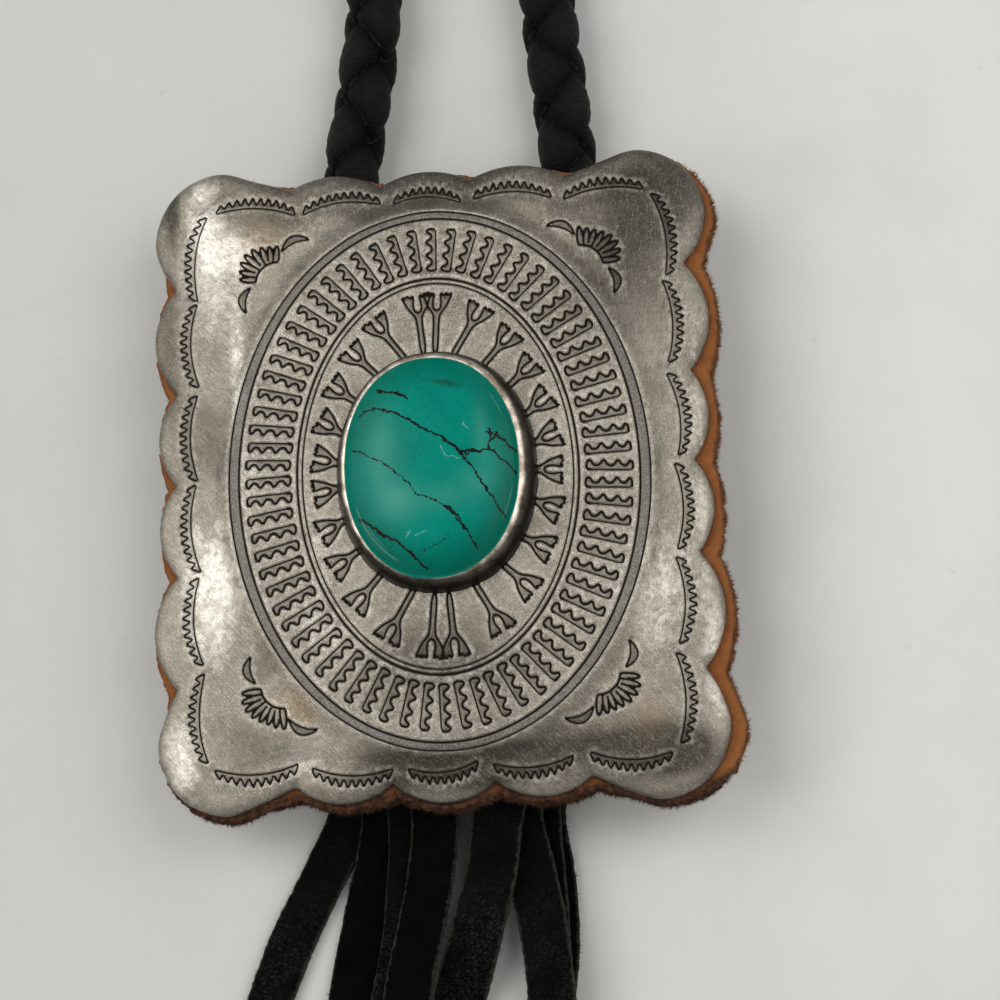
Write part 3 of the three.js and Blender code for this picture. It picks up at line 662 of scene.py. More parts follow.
def plate():
    seg = 0.3
    edge = outline(PLATE_MARGIN, 0.3)[::-1]
    # closed engraved lines
    lines, fills = [], []
    inks = []
    fans, rays = fan_stamps()
    for ink, wide, group in ((0.22, -44, [arc_stamp(*a, k) for k, a in enumerate(ARCS)]), (0.30, -10, comb_stamps()), (0.42, 1.02, fork_stamps()),
                             (0.35, 1.05, fans), (0.60, 0.85, crescent_stamps())):
        for g_ in group:
            fills.append(round_corners(g_))
            inks.append(ink)
            if wide > 0:
                lines.append((resample(fills[-1], seg, closed=True), True, wide))
            else:
                # a thin smooth side and a thick toothed one
                cut = -int(wide)
                both = fills[-1]
                thick = 0.88 if cut > 20 else 1.2
                lines.append((resample(both[:cut], seg), False, 0.72))
                lines.append((resample(np.vstack([both[cut - 1:], both[:1]]), seg), False, thick))
    for r in rays:
        lines.append((resample(r, seg), False, 0.95))
    for a, b, w in ((RING["a"], RING["b"], 0.72), (RING["a"] - 1.35, RING["b"] - 1.05, 1.05), (18.45, 26.45, 1.15), (17.75, 25.75, 0.72)):
        lines.append((resample(ell(a, b, 800), seg * 1.6, closed=True), True, w))
    bez = ell(BEZEL["a"] - 0.5, BEZEL["b"] - 0.5, 200)

    def in_bezel(p, k=0.97):
        return ((p[:, 0] - RING["x"]) / (BEZEL["a"] * k)) ** 2 + ((p[:, 1] - RING["y"]) / (BEZEL["b"] * k)) ** 2 < 1

    # dense samples of every centre line, for the distances
    dense, width = [], []
    for p, closed, w in lines:
        q = resample(p, 0.06, closed=closed)
        keep = ~in_bezel(q, 0.9)
        dense.append(q[keep])
        width += [w] * int(keep.sum())
    dense, width = np.vstack(dense), np.array(width)
    kd = kdtree.KDTree(len(dense))
    for i, (x, y) in enumerate(dense):
        kd.insert((x, y, 0), i)
    kd.balance()

    def dist(p):
        d, w = np.empty(len(p)), np.empty(len(p))
        for i, (x, y) in enumerate(p):
            _, j, dd = kd.find((x, y, 0))
            d[i], w[i] = dd, width[j]
        return d, w

    pts, cons = [], []

    def add(poly, closed, keep=None):
        base = len(pts)
        n = len(poly)
        ok = np.ones(n, bool) if keep is None else keep
        ids = -np.ones(n, int)
        for i in range(n):
            if ok[i]:
                ids[i] = len(pts)
                pts.append((float(poly[i][0]), float(poly[i][1])))
        for i in range(n if closed else n - 1):
            j = (i + 1) % n
            if ids[i] >= 0 and ids[j] >= 0:
                cons.append((int(ids[i]), int(ids[j])))

    def normals(poly, closed):
        q = np.asarray(poly)
        if closed:
            d = np.roll(q, -1, 0) - np.roll(q, 1, 0)
        else:
            d = np.gradient(q, axis=0)
        d /= np.maximum(1e-9, np.linalg.norm(d, axis=1))[:, None]
        return np.stack([-d[:, 1], d[:, 0]], 1)

    add(edge, True)
    en = normals(edge, True)          # left of an anticlockwise outline is inwards
    for s in (((0.12, 0.3, 0.6, 1.0, 1.5, 2.2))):
        add(edge + en * s, True)
    for p, closed, w in lines:
        inside = in_bezel(p, 0.93)
        if inside.all():
            continue
        add(p, closed, ~inside)
        nn = normals(p, closed)
        for off in (HALF * w, -HALF * w):
            q = p + nn * off
            d, _ = dist(q)
            add(q, closed, (d > 0.86 * abs(off)) & ~in_bezel(q, 0.93))
    # plain points elsewhere
    g = 0.75
    gx, gy = np.meshgrid(np.arange(-39, 39, g), np.arange(-45, 45, g * 0.866))
    gx = gx + (np.arange(gx.shape[0]) % 2)[:, None] * g / 2
    q = np.stack([gx.ravel(), gy.ravel()], 1)
    q = q[inside_poly(q, edge) & ~in_bezel(q, 0.8)]
    d, _ = dist(q)
    ke = kdtree.KDTree(len(edge))
    for i, (x, y) in enumerate(edge):
        ke.insert((x, y, 0), i)
    ke.balance()
    de = np.array([ke.find((x, y, 0))[2] for x, y in q])
    q = q[(d > 0.4) & (de > 2.5)]
    pts += [(float(x), float(y)) for x, y in q]
    # a little shoulder on both sides of every line
    extra = []
    for p, closed, w in lines:
        pc = resample(p, seg * 1.5, closed=closed)
        nn = normals(pc, closed)
        for off in (0.36, -0.36):
            extra.append(pc + nn * off)
    if extra:
        ex = np.vstack(extra)
        dd, _ = dist(ex)
        ex = ex[(dd > 0.31) & ~in_bezel(ex, 0.93) & inside_poly(ex, edge)]
        pts += [(float(x), float(y)) for x, y in ex]
    V, E, F, _, _, _ = delaunay_2d_cdt([Vector(p) for p in pts], cons, [], 0, 1e-4)
    V = np.array([(v[0], v[1]) for v in V])
    F = np.array([f for f in F if len(f) == 3])
    cen = V[F].mean(1)
    F = F[inside_poly(cen, edge)]
    F = F[~in_bezel(V[F].mean(1), 0.72)]
    d, w = dist(V)
    s = np.array([ke.find((x, y, 0))[2] for x, y in V])
    groove = np.clip(1 - d / (HALF * w), 0, 1)
    lip = np.exp(-((d - HALF * w - 0.12) / 0.13) ** 2)
    recess = np.zeros(len(V))
    for f, ink in zip(fills, inks):
        lo, hi = f.min(0) - 0.1, f.max(0) + 0.1
        idx = np.where((V[:, 0] > lo[0]) & (V[:, 0] < hi[0]) & (V[:, 1] > lo[1]) & (V[:, 1] < hi[1]))[0]
        if len(idx):
            ins = inside_poly(V[idx], f)
            recess[idx[ins]] = ink
    r = np.hypot((V[:, 0] - RING["x"]) / RING["a"], (V[:, 1] - RING["y"]) / RING["b"])
    inner = np.hypot((V[:, 0] - RING["x"]) / (RING["a"] - 1.35), (V[:, 1] - RING["y"]) / (RING["b"] - 1.05))
    band = ((r < 1.0) & (inner > 1.0)).astype(float)
    z = EDGE_TOP + face_height(V[:, 0], V[:, 1], s)
    z = z - DEPTH * groove ** 0.8 - 0.10 * recess * np.clip(d / 0.2, 0, 1) + 0.08 * lip * (recess == 0) * (1 - band) - 0.05 * band
    # soft hammer marks left by the stamping
    z = z + 0.05 * wobble([(x, y, None) for x, y in V], 0.22, 1.3)
    stain = np.zeros(len(V))
    for cx, cy, rad, k in ((-22.5, 33.0, 5.0, 0.8), (-18.8, -29.6, 3.4, 1.0), (-17.0, -31.2, 1.2, 1.6), (26.8, -33.0, 3.0, 0.6), (33.4, -7.0, 1.6, 0.5)):
        stain = np.maximum(stain, k * np.exp(-((V[:, 0] - cx) ** 2 + (V[:, 1] - cy) ** 2) / rad ** 2 * 2))
    # Painted reflections on the metal: positive blobs paint highlights, negative blobs paint dark reflections.
    polish_and_painted_reflection = np.zeros(len(V))
    for cx, cy, rx, ry, k in ((-31.0, 38.5, 2.8, 5.0, 1.2), (-26.5, 32.0, 5.0, 3.5, 0.95), (-29.0, 27.0, 3.0, 8.0, 0.65), (-25.8, 15.0, 1.1, 10.0, 0.9), (-30.0, -14.0, 3.6, 9.0, 1.2), (-33.5, -36.0, 2.5, 5.0, 0.9),
                              (-17.0, -37.6, 5.5, 1.4, 0.7), (29.0, -17.0, 4.0, 9.0, 0.62), (34.8, 3.0, 1.2, 24.0, 0.55), (36.0, -27.0, 1.6, 7.0, 0.9), (-21.0, -30.0, 3.0, 3.0, 0.5),
                              (-24.0, 0.0, 2.0, 9.0, 0.35), (-19.5, 18.5, 3.0, 5.0, 0.40), (-17.0, -19.0, 3.0, 4.0, 0.35), (21.0, -16.0, 3.0, 6.0, 0.25), (-13.0, -21.5, 3.0, 4.0, 0.45), (-15.0, -10.0, 2.0, 6.0, 0.35),
                              (-34.4, 38.0, 1.5, 5.0, -0.9), (-35.2, 20.0, 1.8, 12.0, -0.45), (-29.8, 5.0, 4.0, 7.0, -0.35), (2.0, -39.3, 13.0, 2.2, -1.1), (2.0, -36.8, 22.0, 1.6, -0.5), (0.0, 39.5, 24.0, 3.5, -0.55), (26.0, 28.0, 7.0, 12.0, -0.55),
                              (32.0, 36.5, 6.0, 6.0, -0.75), (0.0, -25.0, 11.0, 5.0, -0.55), (17.0, -35.0, 9.0, 3.5, -0.38), (29.0, -37.5, 6.5, 3.6, -1.1), (-25.0, -34.0, 4.0, 3.0, -0.3), (-22.5, -24.5, 3.0, 4.0, -0.35), (12.0, 19.0, 6.0, 5.0, -0.15)):
        polish_and_painted_reflection += k * np.exp(-((V[:, 0] - cx) / rx) ** 2 - ((V[:, 1] - cy) / ry) ** 2)
    polish_and_painted_reflection = np.clip(polish_and_painted_reflection, -1.2, 1.2)
    green = np.exp(-((V[:, 0] + 7.6) ** 2 / 0.35 + (V[:, 1] - 31.5) ** 2 / 3.0)) * (recess > 0)
    P = np.column_stack([V, z])
    # rolled edge down to the leather
    used = np.unique(F)
    remap = -np.ones(len(V), int)
    remap[used] = np.arange(len(used))
    P, F = P[used], remap[F]
    # the last mask paints a highlight on the raised lip beside each stamp
    attrs = {"groove": groove[used], "recess": recess[used], "band": band[used], "stain": np.clip(stain[used], 0, 1), "green": green[used], "polish_and_painted_reflection": polish_and_painted_reflection[used], "painted_lip_highlight": (lip * (recess == 0) * (1 - band) * (groove < 0.02))[used]}
    # boundary loop of the outline
    cnt = {}
    for a, b, c in F:
        for e in ((a, b), (b, c), (c, a)):
            cnt[e] = cnt.get(e, 0) + 1
    border = [e for e in cnt if (e[1], e[0]) not in cnt]
    nxt = {a: b for a, b in border}
    near = [a for a in nxt if np.hypot(*(P[a, :2])) > 25]
    start = near[0]
    loop, cur = [start], nxt[start]
    while cur != start and len(loop) < 20000:
        loop.append(cur)
        cur = nxt[cur]
    loop = np.array(loop)
    nl = normals(P[loop, :2], True)
    base = len(P)
    rows, L = [], len(loop)
    for inset, zz in ((-0.05, EDGE_TOP - 0.12), (0.0, EDGE_TOP - 0.3), (0.12, PLATE_Z - 0.05), (0.5, PLATE_Z - 0.27)):
        rows.append(np.column_stack([P[loop, :2] + nl * inset, np.full(L, zz)]))
    P = np.vstack([P] + rows)
    F = [tuple(f) for f in F]
    prev = loop
    for k in range(4):
        cur = base + k * L + np.arange(L)
        for i in range(L):
            j = (i + 1) % L
            F.append((prev[j], prev[i], cur[i], cur[j]))
        prev = cur
    for k in attrs:
        attrs[k] = np.r_[attrs[k], np.zeros(4 * L)]
    return make("stamped_plate", P, F, attrs)


def inside_poly(p, poly):
    """Which points lie inside a closed outline."""
    p, poly = np.asarray(p, float), np.asarray(poly, float)
    res = np.zeros(len(p), bool)
    x, y = p[:, 0], p[:, 1]
    x0, y0 = poly[:, 0], poly[:, 1]
    x1, y1 = np.roll(x0, -1), np.roll(y0, -1)
    for a in range(len(poly)):
        if y0[a] == y1[a]:
            continue
        c = (y0[a] > y) != (y1[a] > y)
        if c.any():
            xi = (x1[a] - x0[a]) * (y[c] - y0[a]) / (y1[a] - y0[a]) + x0[a]
            res[np.where(c)[0]] ^= x[c] < xi
    return res


metal = metal_material()
finish_piece(plate(), metal, "plate")


# ---- bezel and stone -------------------------------------------------------------
def sup(a, b, n, power=ROUND):
    t = np.linspace(0, 2 * np.pi, n, endpoint=False)
    c, s = np.cos(t), np.sin(t)
    r = (np.abs(c) ** power + np.abs(s) ** power) ** (-1 / power)
    return np.stack([RING["x"] + a * r * c, RING["y"] + b * r * s], 1)


def loft(rings, close_top=None, wrap=False):
    n = len(rings[0])
    V = np.vstack(rings)
    F = []
    m_ = len(rings) if wrap else len(rings) - 1
    for i in range(m_):
        k = (i + 1) % len(rings)
        for j in range(n):
            l = (j + 1) % n
            F.append((i * n + j, i * n + l, k * n + l, k * n + j))
    if close_top is not None:
        V = np.vstack([V, [close_top]])
        t = len(V) - 1
        b = (len(rings) - 1) * n
        F += [(b + j, b + (j + 1) % n, t) for j in range(n)]
    return V, F


def bezel():
    z0 = EDGE_TOP + BEZEL_BASE
    n = 320
    prof = [(-0.18, -0.35, 1), (-0.10, -0.08, 1), (0.02, 0.12, 1), (0.10, 0.6, 1), (0.22, 1.3, 1), (0.38, 2.0, 1), (0.58, 2.6, .9), (0.80, 3.0, .85), (0.98, 3.22, .25), (1.18, 3.34, .05),
            (1.30, 3.34, 0), (1.40, 3.30, .25), (1.48, 3.27, .65), (1.57, 3.25, 0), (1.63, 3.12, .35), (1.70, 2.95, 1), (1.70, 2.6, 1)]
    rings, dark = [], []
    for inset, h, dk in prof:
        p = sup(BEZEL["a"] - inset, BEZEL["b"] - inset, n)
        # the rolled lip is wider on the right
        reach = min(1.0, max(0.0, (inset - 0.8) / 0.7))
        uv = (p - np.array([RING["x"], RING["y"]])) / np.array([BEZEL["a"], BEZEL["b"]])
        p = p - uv * (reach * (0.30 + 0.72 * np.clip(uv[:, 0], 0, 1) ** 1.4))[:, None]
        # and the wall leans in more on the right and at the foot
        lean = min(1.0, max(0.0, (inset - 0.2) / 0.45)) * (1 - min(1.0, max(0.0, (inset - 1.4) / 0.3)))
        p = p - lean * np.column_stack([0.50 * np.clip(uv[:, 0], 0, 1), 0.50 * np.clip(uv[:, 1], -1, 0)])
        wob = wobble([(x, y, None) for x, y in p], 0.35, 5.0) * (0.10 if h > 2.4 else 0.05)
        d = p - np.array([RING["x"], RING["y"]])
        d /= np.linalg.norm(d, axis=1)[:, None]
        rings.append(np.column_stack([p + d * wob[:, None], z0 + h + 0.5 * wob]))
        dark += [dk] * n
    V, F = loft(rings)
    return make("bezel", V, F, {"dark": np.array(dark) * 0.96})


finish_piece(bezel(), bezel_material(), "plate")

# Veins, as lines from point to point, in the photograph's proportions: x, y in mm from the stone's middle, and width.
VEINS = [
    (0.13, [(-9.5, 7.0), (-8.4, 7.6), (-7.0, 7.7), (-5.5, 7.2), (-4.2, 6.7), (-2.5, 5.6), (-0.8, 4.5), (0.8, 3.6), (2.2, 2.6), (3.0, 2.1)]),
    (0.15, [(3.0, 2.1), (4.0, 1.3), (5.0, 1.6), (6.2, 1.3), (7.4, 1.6), (8.0, 0.9), (9.2, -0.1), (10.0, -0.8), (10.5, -1.7)]),
    (0.11, [(7.3, 4.2), (7.6, 3.4), (7.2, 2.3), (7.4, 1.6)]),
    (0.11, [(7.0, 3.9), (7.9, 3.6), (8.9, 3.0), (9.9, 2.0), (10.7, 1.3)]),
    (0.10, [(7.7, 3.0), (8.4, 3.4), (8.2, 3.9)]),
    (0.11, [(2.9, 2.1), (4.0, 0.6), (5.1, -0.8), (6.4, -3.0), (7.5, -4.7), (8.4, -6.3), (9.0, -7.3)]),
    (0.08, [(3.2, 2.0), (4.5, 0.8), (4.8, 1.6)]),
    (0.10, [(-10.6, 2.5), (-9.2, 1.9), (-7.6, 1.0), (-6.4, 0.5), (-4.7, -0.9), (-3.4, -2.2), (-2.7, -3.1), (-2.3, -3.9), (-1.1, -4.2), (0.6, -5.0), (2.2, -6.4), (3.5, -8.2), (4.5, -9.6), (5.4, -11.2)]),
    (0.07, [(0.6, -5.0), (1.9, -5.8), (3.2, -7.3), (4.2, -8.9)]),
    (0.15, [(-9.6, -6.6), (-8.5, -7.4), (-7.4, -8.4), (-6.2, -9.1), (-5.2, -9.6), (-4.3, -10.5), (-3.2, -11.4), (-2.2, -12.6), (-1.3, -13.5)]),
    (0.17, [(-8.6, -7.3), (-7.2, -8.5), (-6.4, -9.1)]),
    (0.15, [(-7.0, 10.2), (-5.7, 9.8), (-4.5, 9.7), (-3.8, 9.3), (-3.2, 8.8)]),
    (0.06, [(-1.5, -11.0), (-0.3, -10.8), (0.8, -10.2), (1.4, -9.9)]),
]


def stone():
    z0 = EDGE_TOP + BEZEL_BASE + BEZEL["h"] - 0.12
    a, b = BEZEL["a"] - 2.05, BEZEL["b"] - 1.78
    sx = np.array([-0.36, 0.0])                     # the stone sits a little to the left
    n, rows = ((620, 130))
    ks = [1.0 - (i / rows) for i in range(rows)]
    segs = []
    for width, line in VEINS:
        fine = catmull([(x, y, 0) for x, y in line], 0.5)
        ws = [width * (0.75 + 0.5 * abs(math.sin(3.1 * i + 7 * width * 10))) for i in range(len(fine))]
        for (x0, y0, _), (x1, y1, _), w0, w1 in zip(fine[:-1], fine[1:], ws[:-1], ws[1:]):
            segs.append((x0, y0, x1, y1, w0, w1))
    segs = np.array(segs)
    rings, pts2 = [], []
    for k in ks:
        p = sup(a * k, b * k, n) + sx
        zz = STONE_RISE * np.sqrt(max(0, 1 - (k * 0.985) ** 2.2))
        rings.append(np.column_stack([p, np.full(n, z0 + zz)]))
        pts2.append(p)
    V, F = loft(rings, (RING["x"] + sx[0], RING["y"], z0 + STONE_RISE))
    q = V[:, :2] - np.array([RING["x"], RING["y"]])
    jit = np.column_stack([wobble([(x, y, None) for x, y in q], 1.3, 2.0), wobble([(x, y, None) for x, y in q], 1.3, 8.0)]) * 0.22
    jit += np.column_stack([wobble([(x, y, None) for x, y in q], 4.0, 4.0), wobble([(x, y, None) for x, y in q], 4.0, 6.0)]) * 0.19
    qq = q + jit
    best, scr = np.zeros(len(q)), np.zeros(len(q))
    for x0, y0, x1, y1, w0, w1 in segs:
        d = np.array([x1 - x0, y1 - y0])
        t = np.clip(((qq - [x0, y0]) @ d) / (d @ d), 0, 1)
        dd = np.linalg.norm(qq - ([x0, y0] + t[:, None] * d), axis=1)
        w = (w0 + (w1 - w0) * t) * 1.35
        best = np.maximum(best, np.clip(1.25 - dd / w, 0, 1))
    smud = 0.75 * np.exp(-(((qq[:, 0] - 1.9) / 1.9) ** 2 + ((qq[:, 1] - 10.7 + 0.22 * (qq[:, 0] - 1.9)) / 0.42) ** 2))
    for (x0, y0), (x1, y1) in (((0.98, 2.25), (1.62, 1.0)), ((1.62, 1.0), (3.47, 0.49)), ((-2.5, -9.2), (-1.2, -8.7)), ((4.1, 5.2), (4.6, 4.4)), ((-3.9, -9.6), (-3.2, -8.6))):
        d = np.array([x1 - x0, y1 - y0])
        t = np.clip(((qq - [x0, y0]) @ d) / (d @ d), 0, 1)
        scr = np.maximum(scr, np.clip(1 - np.linalg.norm(qq - ([x0, y0] + t[:, None] * d), axis=1) / 0.09, 0, 1))
    # Painted reflections: soft pale patches on the stone's face.
    painted_milky_reflection = np.zeros(len(q))
    for cx, cy, rx, ry, k in ((-6.7, 2.0, 2.0, 5.0, 0.75), (-4.6, -4.6, 2.4, 2.2, 0.85), (0.8, -4.4, 4.0, 1.7, 0.55), (5.4, -2.2, 2.2, 1.7, 0.6), (6.3, 3.2, 0.9, 4.2, 0.6), (8.3, 0.0, 1.2, 3.0, 0.25)):
        painted_milky_reflection += k * np.exp(-((q[:, 0] - cx) / rx) ** 2 - ((q[:, 1] - cy) / ry) ** 2)
    painted_milky_reflection = np.clip(painted_milky_reflection * (0.85 + 0.5 * wobble([(x, y, None) for x, y in q], 0.25, 12.0)), 0, 1)
    jit_ = np.arctan2(q[:, 1], q[:, 0])
    kk = np.hypot((q[:, 0] - sx[0]) / a, q[:, 1] / b)
    shade = smooth((kk - 0.62) / 0.36) * (0.66 + 0.34 * smooth((q[:, 0] * 0.3 - q[:, 1] * 0.5 + 3.0) / 9.0))
    for k_, lo, hi, v_ in ((0.955, -2.75, -1.9, 0.45), (0.925, -2.5, -2.05, 0.25), (0.965, -0.75, -0.25, 0.3), (0.955, 0.55, 0.95, 0.25)):
        scr = np.maximum(scr, v_ * np.exp(-((kk - k_) / 0.006) ** 2) * smooth((jit_ - lo) / 0.15) * smooth((hi - jit_) / 0.15))
    # sides of the stone, down to its seat
    n0 = len(V)
    for inset, dz in ((-0.25, -0.25), (-0.55, -0.9)):
        p = sup(a - inset, b - inset, n) + sx
        V = np.vstack([V, np.column_stack([p, np.full(n, z0 + STONE_RISE * np.sqrt(1 - 0.985 ** 2.2) + dz)])])
    for i in range(n):
        j = (i + 1) % n
        F.append((n0 + i, n0 + j, j, i))
        F.append((n0 + n + i, n0 + n + j, n0 + j, n0 + i))
    pad = lambda v: np.r_[v, np.zeros(2 * n)]
    return make("stone_cabochon", V, F, {"vein": pad(best), "smudge": pad(smud), "painted_milky_reflection": pad(painted_milky_reflection), "scratch": pad(scr), "shade": pad(shade)})


finish_piece(stone(), stone_material(), "stone")


# ---- fibres: short tapering hairs on a raw edge -----------------------------------
def fibres(roots, dirs, length, width, attrs_edge, name):
    verts, faces = [], []
    for (p, d) in zip(roots, dirs):
        L = length * rng.uniform(0.35, 1.3)
        w = width * rng.uniform(0.7, 1.3)
        d = d / max(1e-9, np.linalg.norm(d))
        side = np.cross(d, rng.normal(size=3))
        side /= max(1e-9, np.linalg.norm(side))
        bend = rng.normal(size=3) * 0.35
        a = len(verts)
        p1 = p + d * L * 0.5 + bend * L * 0.12
        p2 = p + d * L + bend * L * 0.5
        verts += [p - side * w / 2 - d * 0.08, p + side * w / 2 - d * 0.08, p1 + side * w * 0.4, p1 - side * w * 0.4, p2]
        faces += [(a, a + 1, a + 2, a + 3), (a + 3, a + 2, a + 4)]
    V = np.array(verts)
    V[:, 2] = np.maximum(V[:, 2], 0.03)
    return V, faces


# ---- leather backing ----------------------------------------------------------------
def backing():
    step = 0.22
    edge = outline(LEATHER_MARGIN, step)
    n = len(edge)
    d = np.roll(edge, -1, 0) - np.roll(edge, 1, 0)
    d /= np.linalg.norm(d, axis=1)[:, None]
    out = np.stack([-d[:, 1], d[:, 0]], 1)        # clockwise outline: left is outwards
    rows, eattr = [], []
    top, bot = LEATHER_Z + LEATHER_T, LEATHER_Z
    prof = [(-6.0, 0.0, 0), (-2.0, 0.0, 0), (-0.9, 0.02, .05), (-0.45, 0.0, .2), (-0.18, -0.06, .6), (0.0, -0.25, .9), (0.05, -0.6, 1), (0.02, -1.0, 1), (0.06, -1.4, 1), (0.0, -1.8, 1), (0.04, -2.2, 1), (-0.05, -2.6, 1), (-0.25, -3.0, .9), (-6.0, -3.0, .3)]
    for off, dz, e in prof:
        p = edge + out * off
        if -0.5 < off:
            rough = wobble([(x, y, dz * 2) for x, y in p], 1.9, 2.0) * 0.22 + wobble([(x, y, dz * 3) for x, y in p], 0.5, 4.0) * 0.16
            rag = 1 + 1.3 * smooth((-38.5 - p[:, 1]) / 1.5) + 0.5 * smooth((p[:, 0] - 33) / 2)
            p = p + out * (rough * rag * (1 if off > -0.3 else 0.4))[:, None]
        rows.append(np.column_stack([p, np.full(n, top + dz)]))
        eattr += [e] * n
    V, F = loft(rows)
    F = [tuple(reversed(f)) for f in F]
    F.append(list(range(n))[::-1])
    b = (len(rows) - 1) * n
    F.append([b + i for i in range(n)])
    F[-2] = list(range(n))[::-1]
    ob = make("backing", V, [tuple(f) for f in F], {"edge": eattr})
    ob.data.validate()
    cnt = 11000
    clump = 0.5 + 0.5 * wobble([(x, y, None) for x, y in edge], 0.8, 7.0)
    clump = np.clip(clump, 0.02, 1) ** 2
    side_w = np.clip(0.12 + 1.3 * (out @ np.array([0.75, -0.66])) + 0.3, 0.02, 1)
    idx = rng.choice(n, cnt, p=clump * side_w / (clump * side_w).sum())
    zz = top + rng.uniform(-2.9, -0.1, cnt)
    roots = np.column_stack([edge[idx] + out[idx] * 0.0, zz])
    dirs = np.column_stack([out[idx] + rng.normal(size=(cnt, 2)) * 0.45, rng.normal(size=cnt) * 0.35])
    V2, F2 = fibres(roots, dirs, 0.62, 0.075, 1, "f")
    fz = make("backing_fuzz", V2, F2, {"edge": np.ones(len(V2))}, smooth=False)
    return ob, fz


tan = tan_material("tan_leather")
bk, fuzz = backing()
finish_piece(bk, tan, "leather_backing")
finish_piece(fuzz, tan, "leather_backing")

# ---- keeper --------------------------------------------------------------------------
KEEPER = dict(x=2.5, w=44.0, l=30.0, channel=9.0, left=-10.5, right=15.5)


def fillet(poly, r, steps):
    """A closed outline with its corners rounded."""
    p, out = np.array(poly, float), []
    for i in range(len(p)):
        a, b, c = p[i - 1], p[i], p[(i + 1) % len(p)]
        u, v = (a - b) / np.linalg.norm(a - b), (c - b) / np.linalg.norm(c - b)
        for t in np.linspace(0, 1, steps + 1):
            out.append((1 - t) ** 2 * (b + u * r) + 2 * t * (1 - t) * b + t * t * (b + v * r))
    return np.array(out)


def back_keeper():
    """A block of leather behind the backing, with a channel for each end of the cord."""
    top, c, x0, x1 = LEATHER_Z - GAP - 0.02, KEEPER["channel"] / 2, KEEPER["x"] - KEEPER["w"] / 2, KEEPER["x"] + KEEPER["w"] / 2
    sec = [(x0, 0.02), (x1, 0.02), (x1, top)]
    for x in (KEEPER["right"], KEEPER["left"]):
        sec += [(x + c, top), (x + c, KEEPER_T), (x - c, KEEPER_T), (x - c, top)]
    sec = resample(fillet(sec + [(x0, top)], 0.55, 4), 0.35, closed=True)
    d = np.roll(sec, -1, 0) - np.roll(sec, 1, 0)
    d /= np.linalg.norm(d, axis=1)[:, None]
    inw = np.stack([-d[:, 1], d[:, 0]], 1)
    h = KEEPER["l"] / 2
    ys = np.r_[-h, -h + 0.12, -h + 0.4, np.linspace(-h + 1, h - 1, 40), h - 0.4, h - 0.12, h]
    ins = [0.4, 0.15, 0.0] + [0.0] * (len(ys) - 6) + [0.0, 0.15, 0.4]
    rings, ea = [], []
    for y, k in zip(ys, ins):
        q = sec + inw * (k + 0.05 + 0.05 * wobble([(a * 0.5, b * 0.5, y * 0.5) for a, b in sec], 1.0, 2.0))[:, None]
        rings.append(np.column_stack([q[:, 0], np.full(len(q), y), np.maximum(q[:, 1], 0.02)]))
        ea += [0.9 if k > 0 else 0.15] * len(q)
    V, F = loft(rings)
    n, last = len(sec), (len(ys) - 1) * len(sec)
    F = [tuple(reversed(f)) for f in F]
    F += [list(range(n)), [last + i for i in range(n)][::-1]]
    return make("keeper_block", V, F, {"edge": ea, "suede": np.full(len(V), 0.5), "crackle_and_sheen": np.full(len(V), 0.4)})


finish_piece(back_keeper(), black_material("keeper_leather", 0.10, 1.6), "back_keeper")

# ---- fringe ---------------------------------------------------------------------------
STRIP_T = 1.5
STRIP_Y = [-27, -44, -51, -58, -64, -70, -99, -128]
# name, width, x and underside z at each y of STRIP_Y, how much suede and how much crackled grain with its painted
# highlight
STRIPS = [
    ("fringe_1", 5.8, [-9.5, -14.2, -17.8, -21.4, -24.0, -26.4, -35.5, -44], [0.8, 0.2, 0.2, 0.2, 0.2, 0.2, 0.2, 0.2], 0, 0.8),
    ("fringe_2", 6.0, [-10.4, -9.3, -10.6, -12.4, -13.8, -14.9, -20, -25.5], [3.0, 2.2, 1.3, 0.2, 0.2, 0.2, 0.2, 0.2], 1, 0),
    ("fringe_3", 4.0, [-7.4, -6.3, -6.7, -7.5, -8.6, -9.8, -12.4, -16.5], [5.2, 4.3, 3.3, 2.3, 2.3, 2.4, 1.0, 0.2], 0.3, 1.0),
    ("fringe_4", 6.3, [-5.5, -2.0, -2.7, -4.3, -5.8, -6.6, -7.2, -8.5], [7.4, 6.4, 5.4, 4.3, 4.3, 4.4, 3.2, 0.2], 1, 0),
    ("fringe_5", 6.7, [9.6, 6.4, 5.3, 3.2, 1.3, -0.4, -0.2, -1.0], [7.4, 6.5, 6.4, 5.4, 2.4, 0.2, 0.2, 0.2], 0, 1.0),
    ("fringe_6", 6.2, [11.4, 8.9, 10.3, 11.5, 12.1, 12.3, 8.6, 6.5], [5.2, 4.4, 4.3, 4.3, 4.3, 4.3, 4.0, 0.2], 0.25, 0.5),
    ("fringe_7", 6.0, [13.4, 11.4, 11.7, 12.0, 12.1, 12.1, 14.8, 16.0], [3.0, 2.3, 2.2, 2.2, 2.2, 2.2, 2.1, 0.2], 0.6, 0.3),
    ("fringe_8", 6.0, [14.5, 11.7, 12.8, 13.0, 12.6, 12.4, 21.8, 28.0], [0.8, 0.2, 0.2, 0.2, 0.2, 0.2, 0.2, 0.2], 1, 0),
]


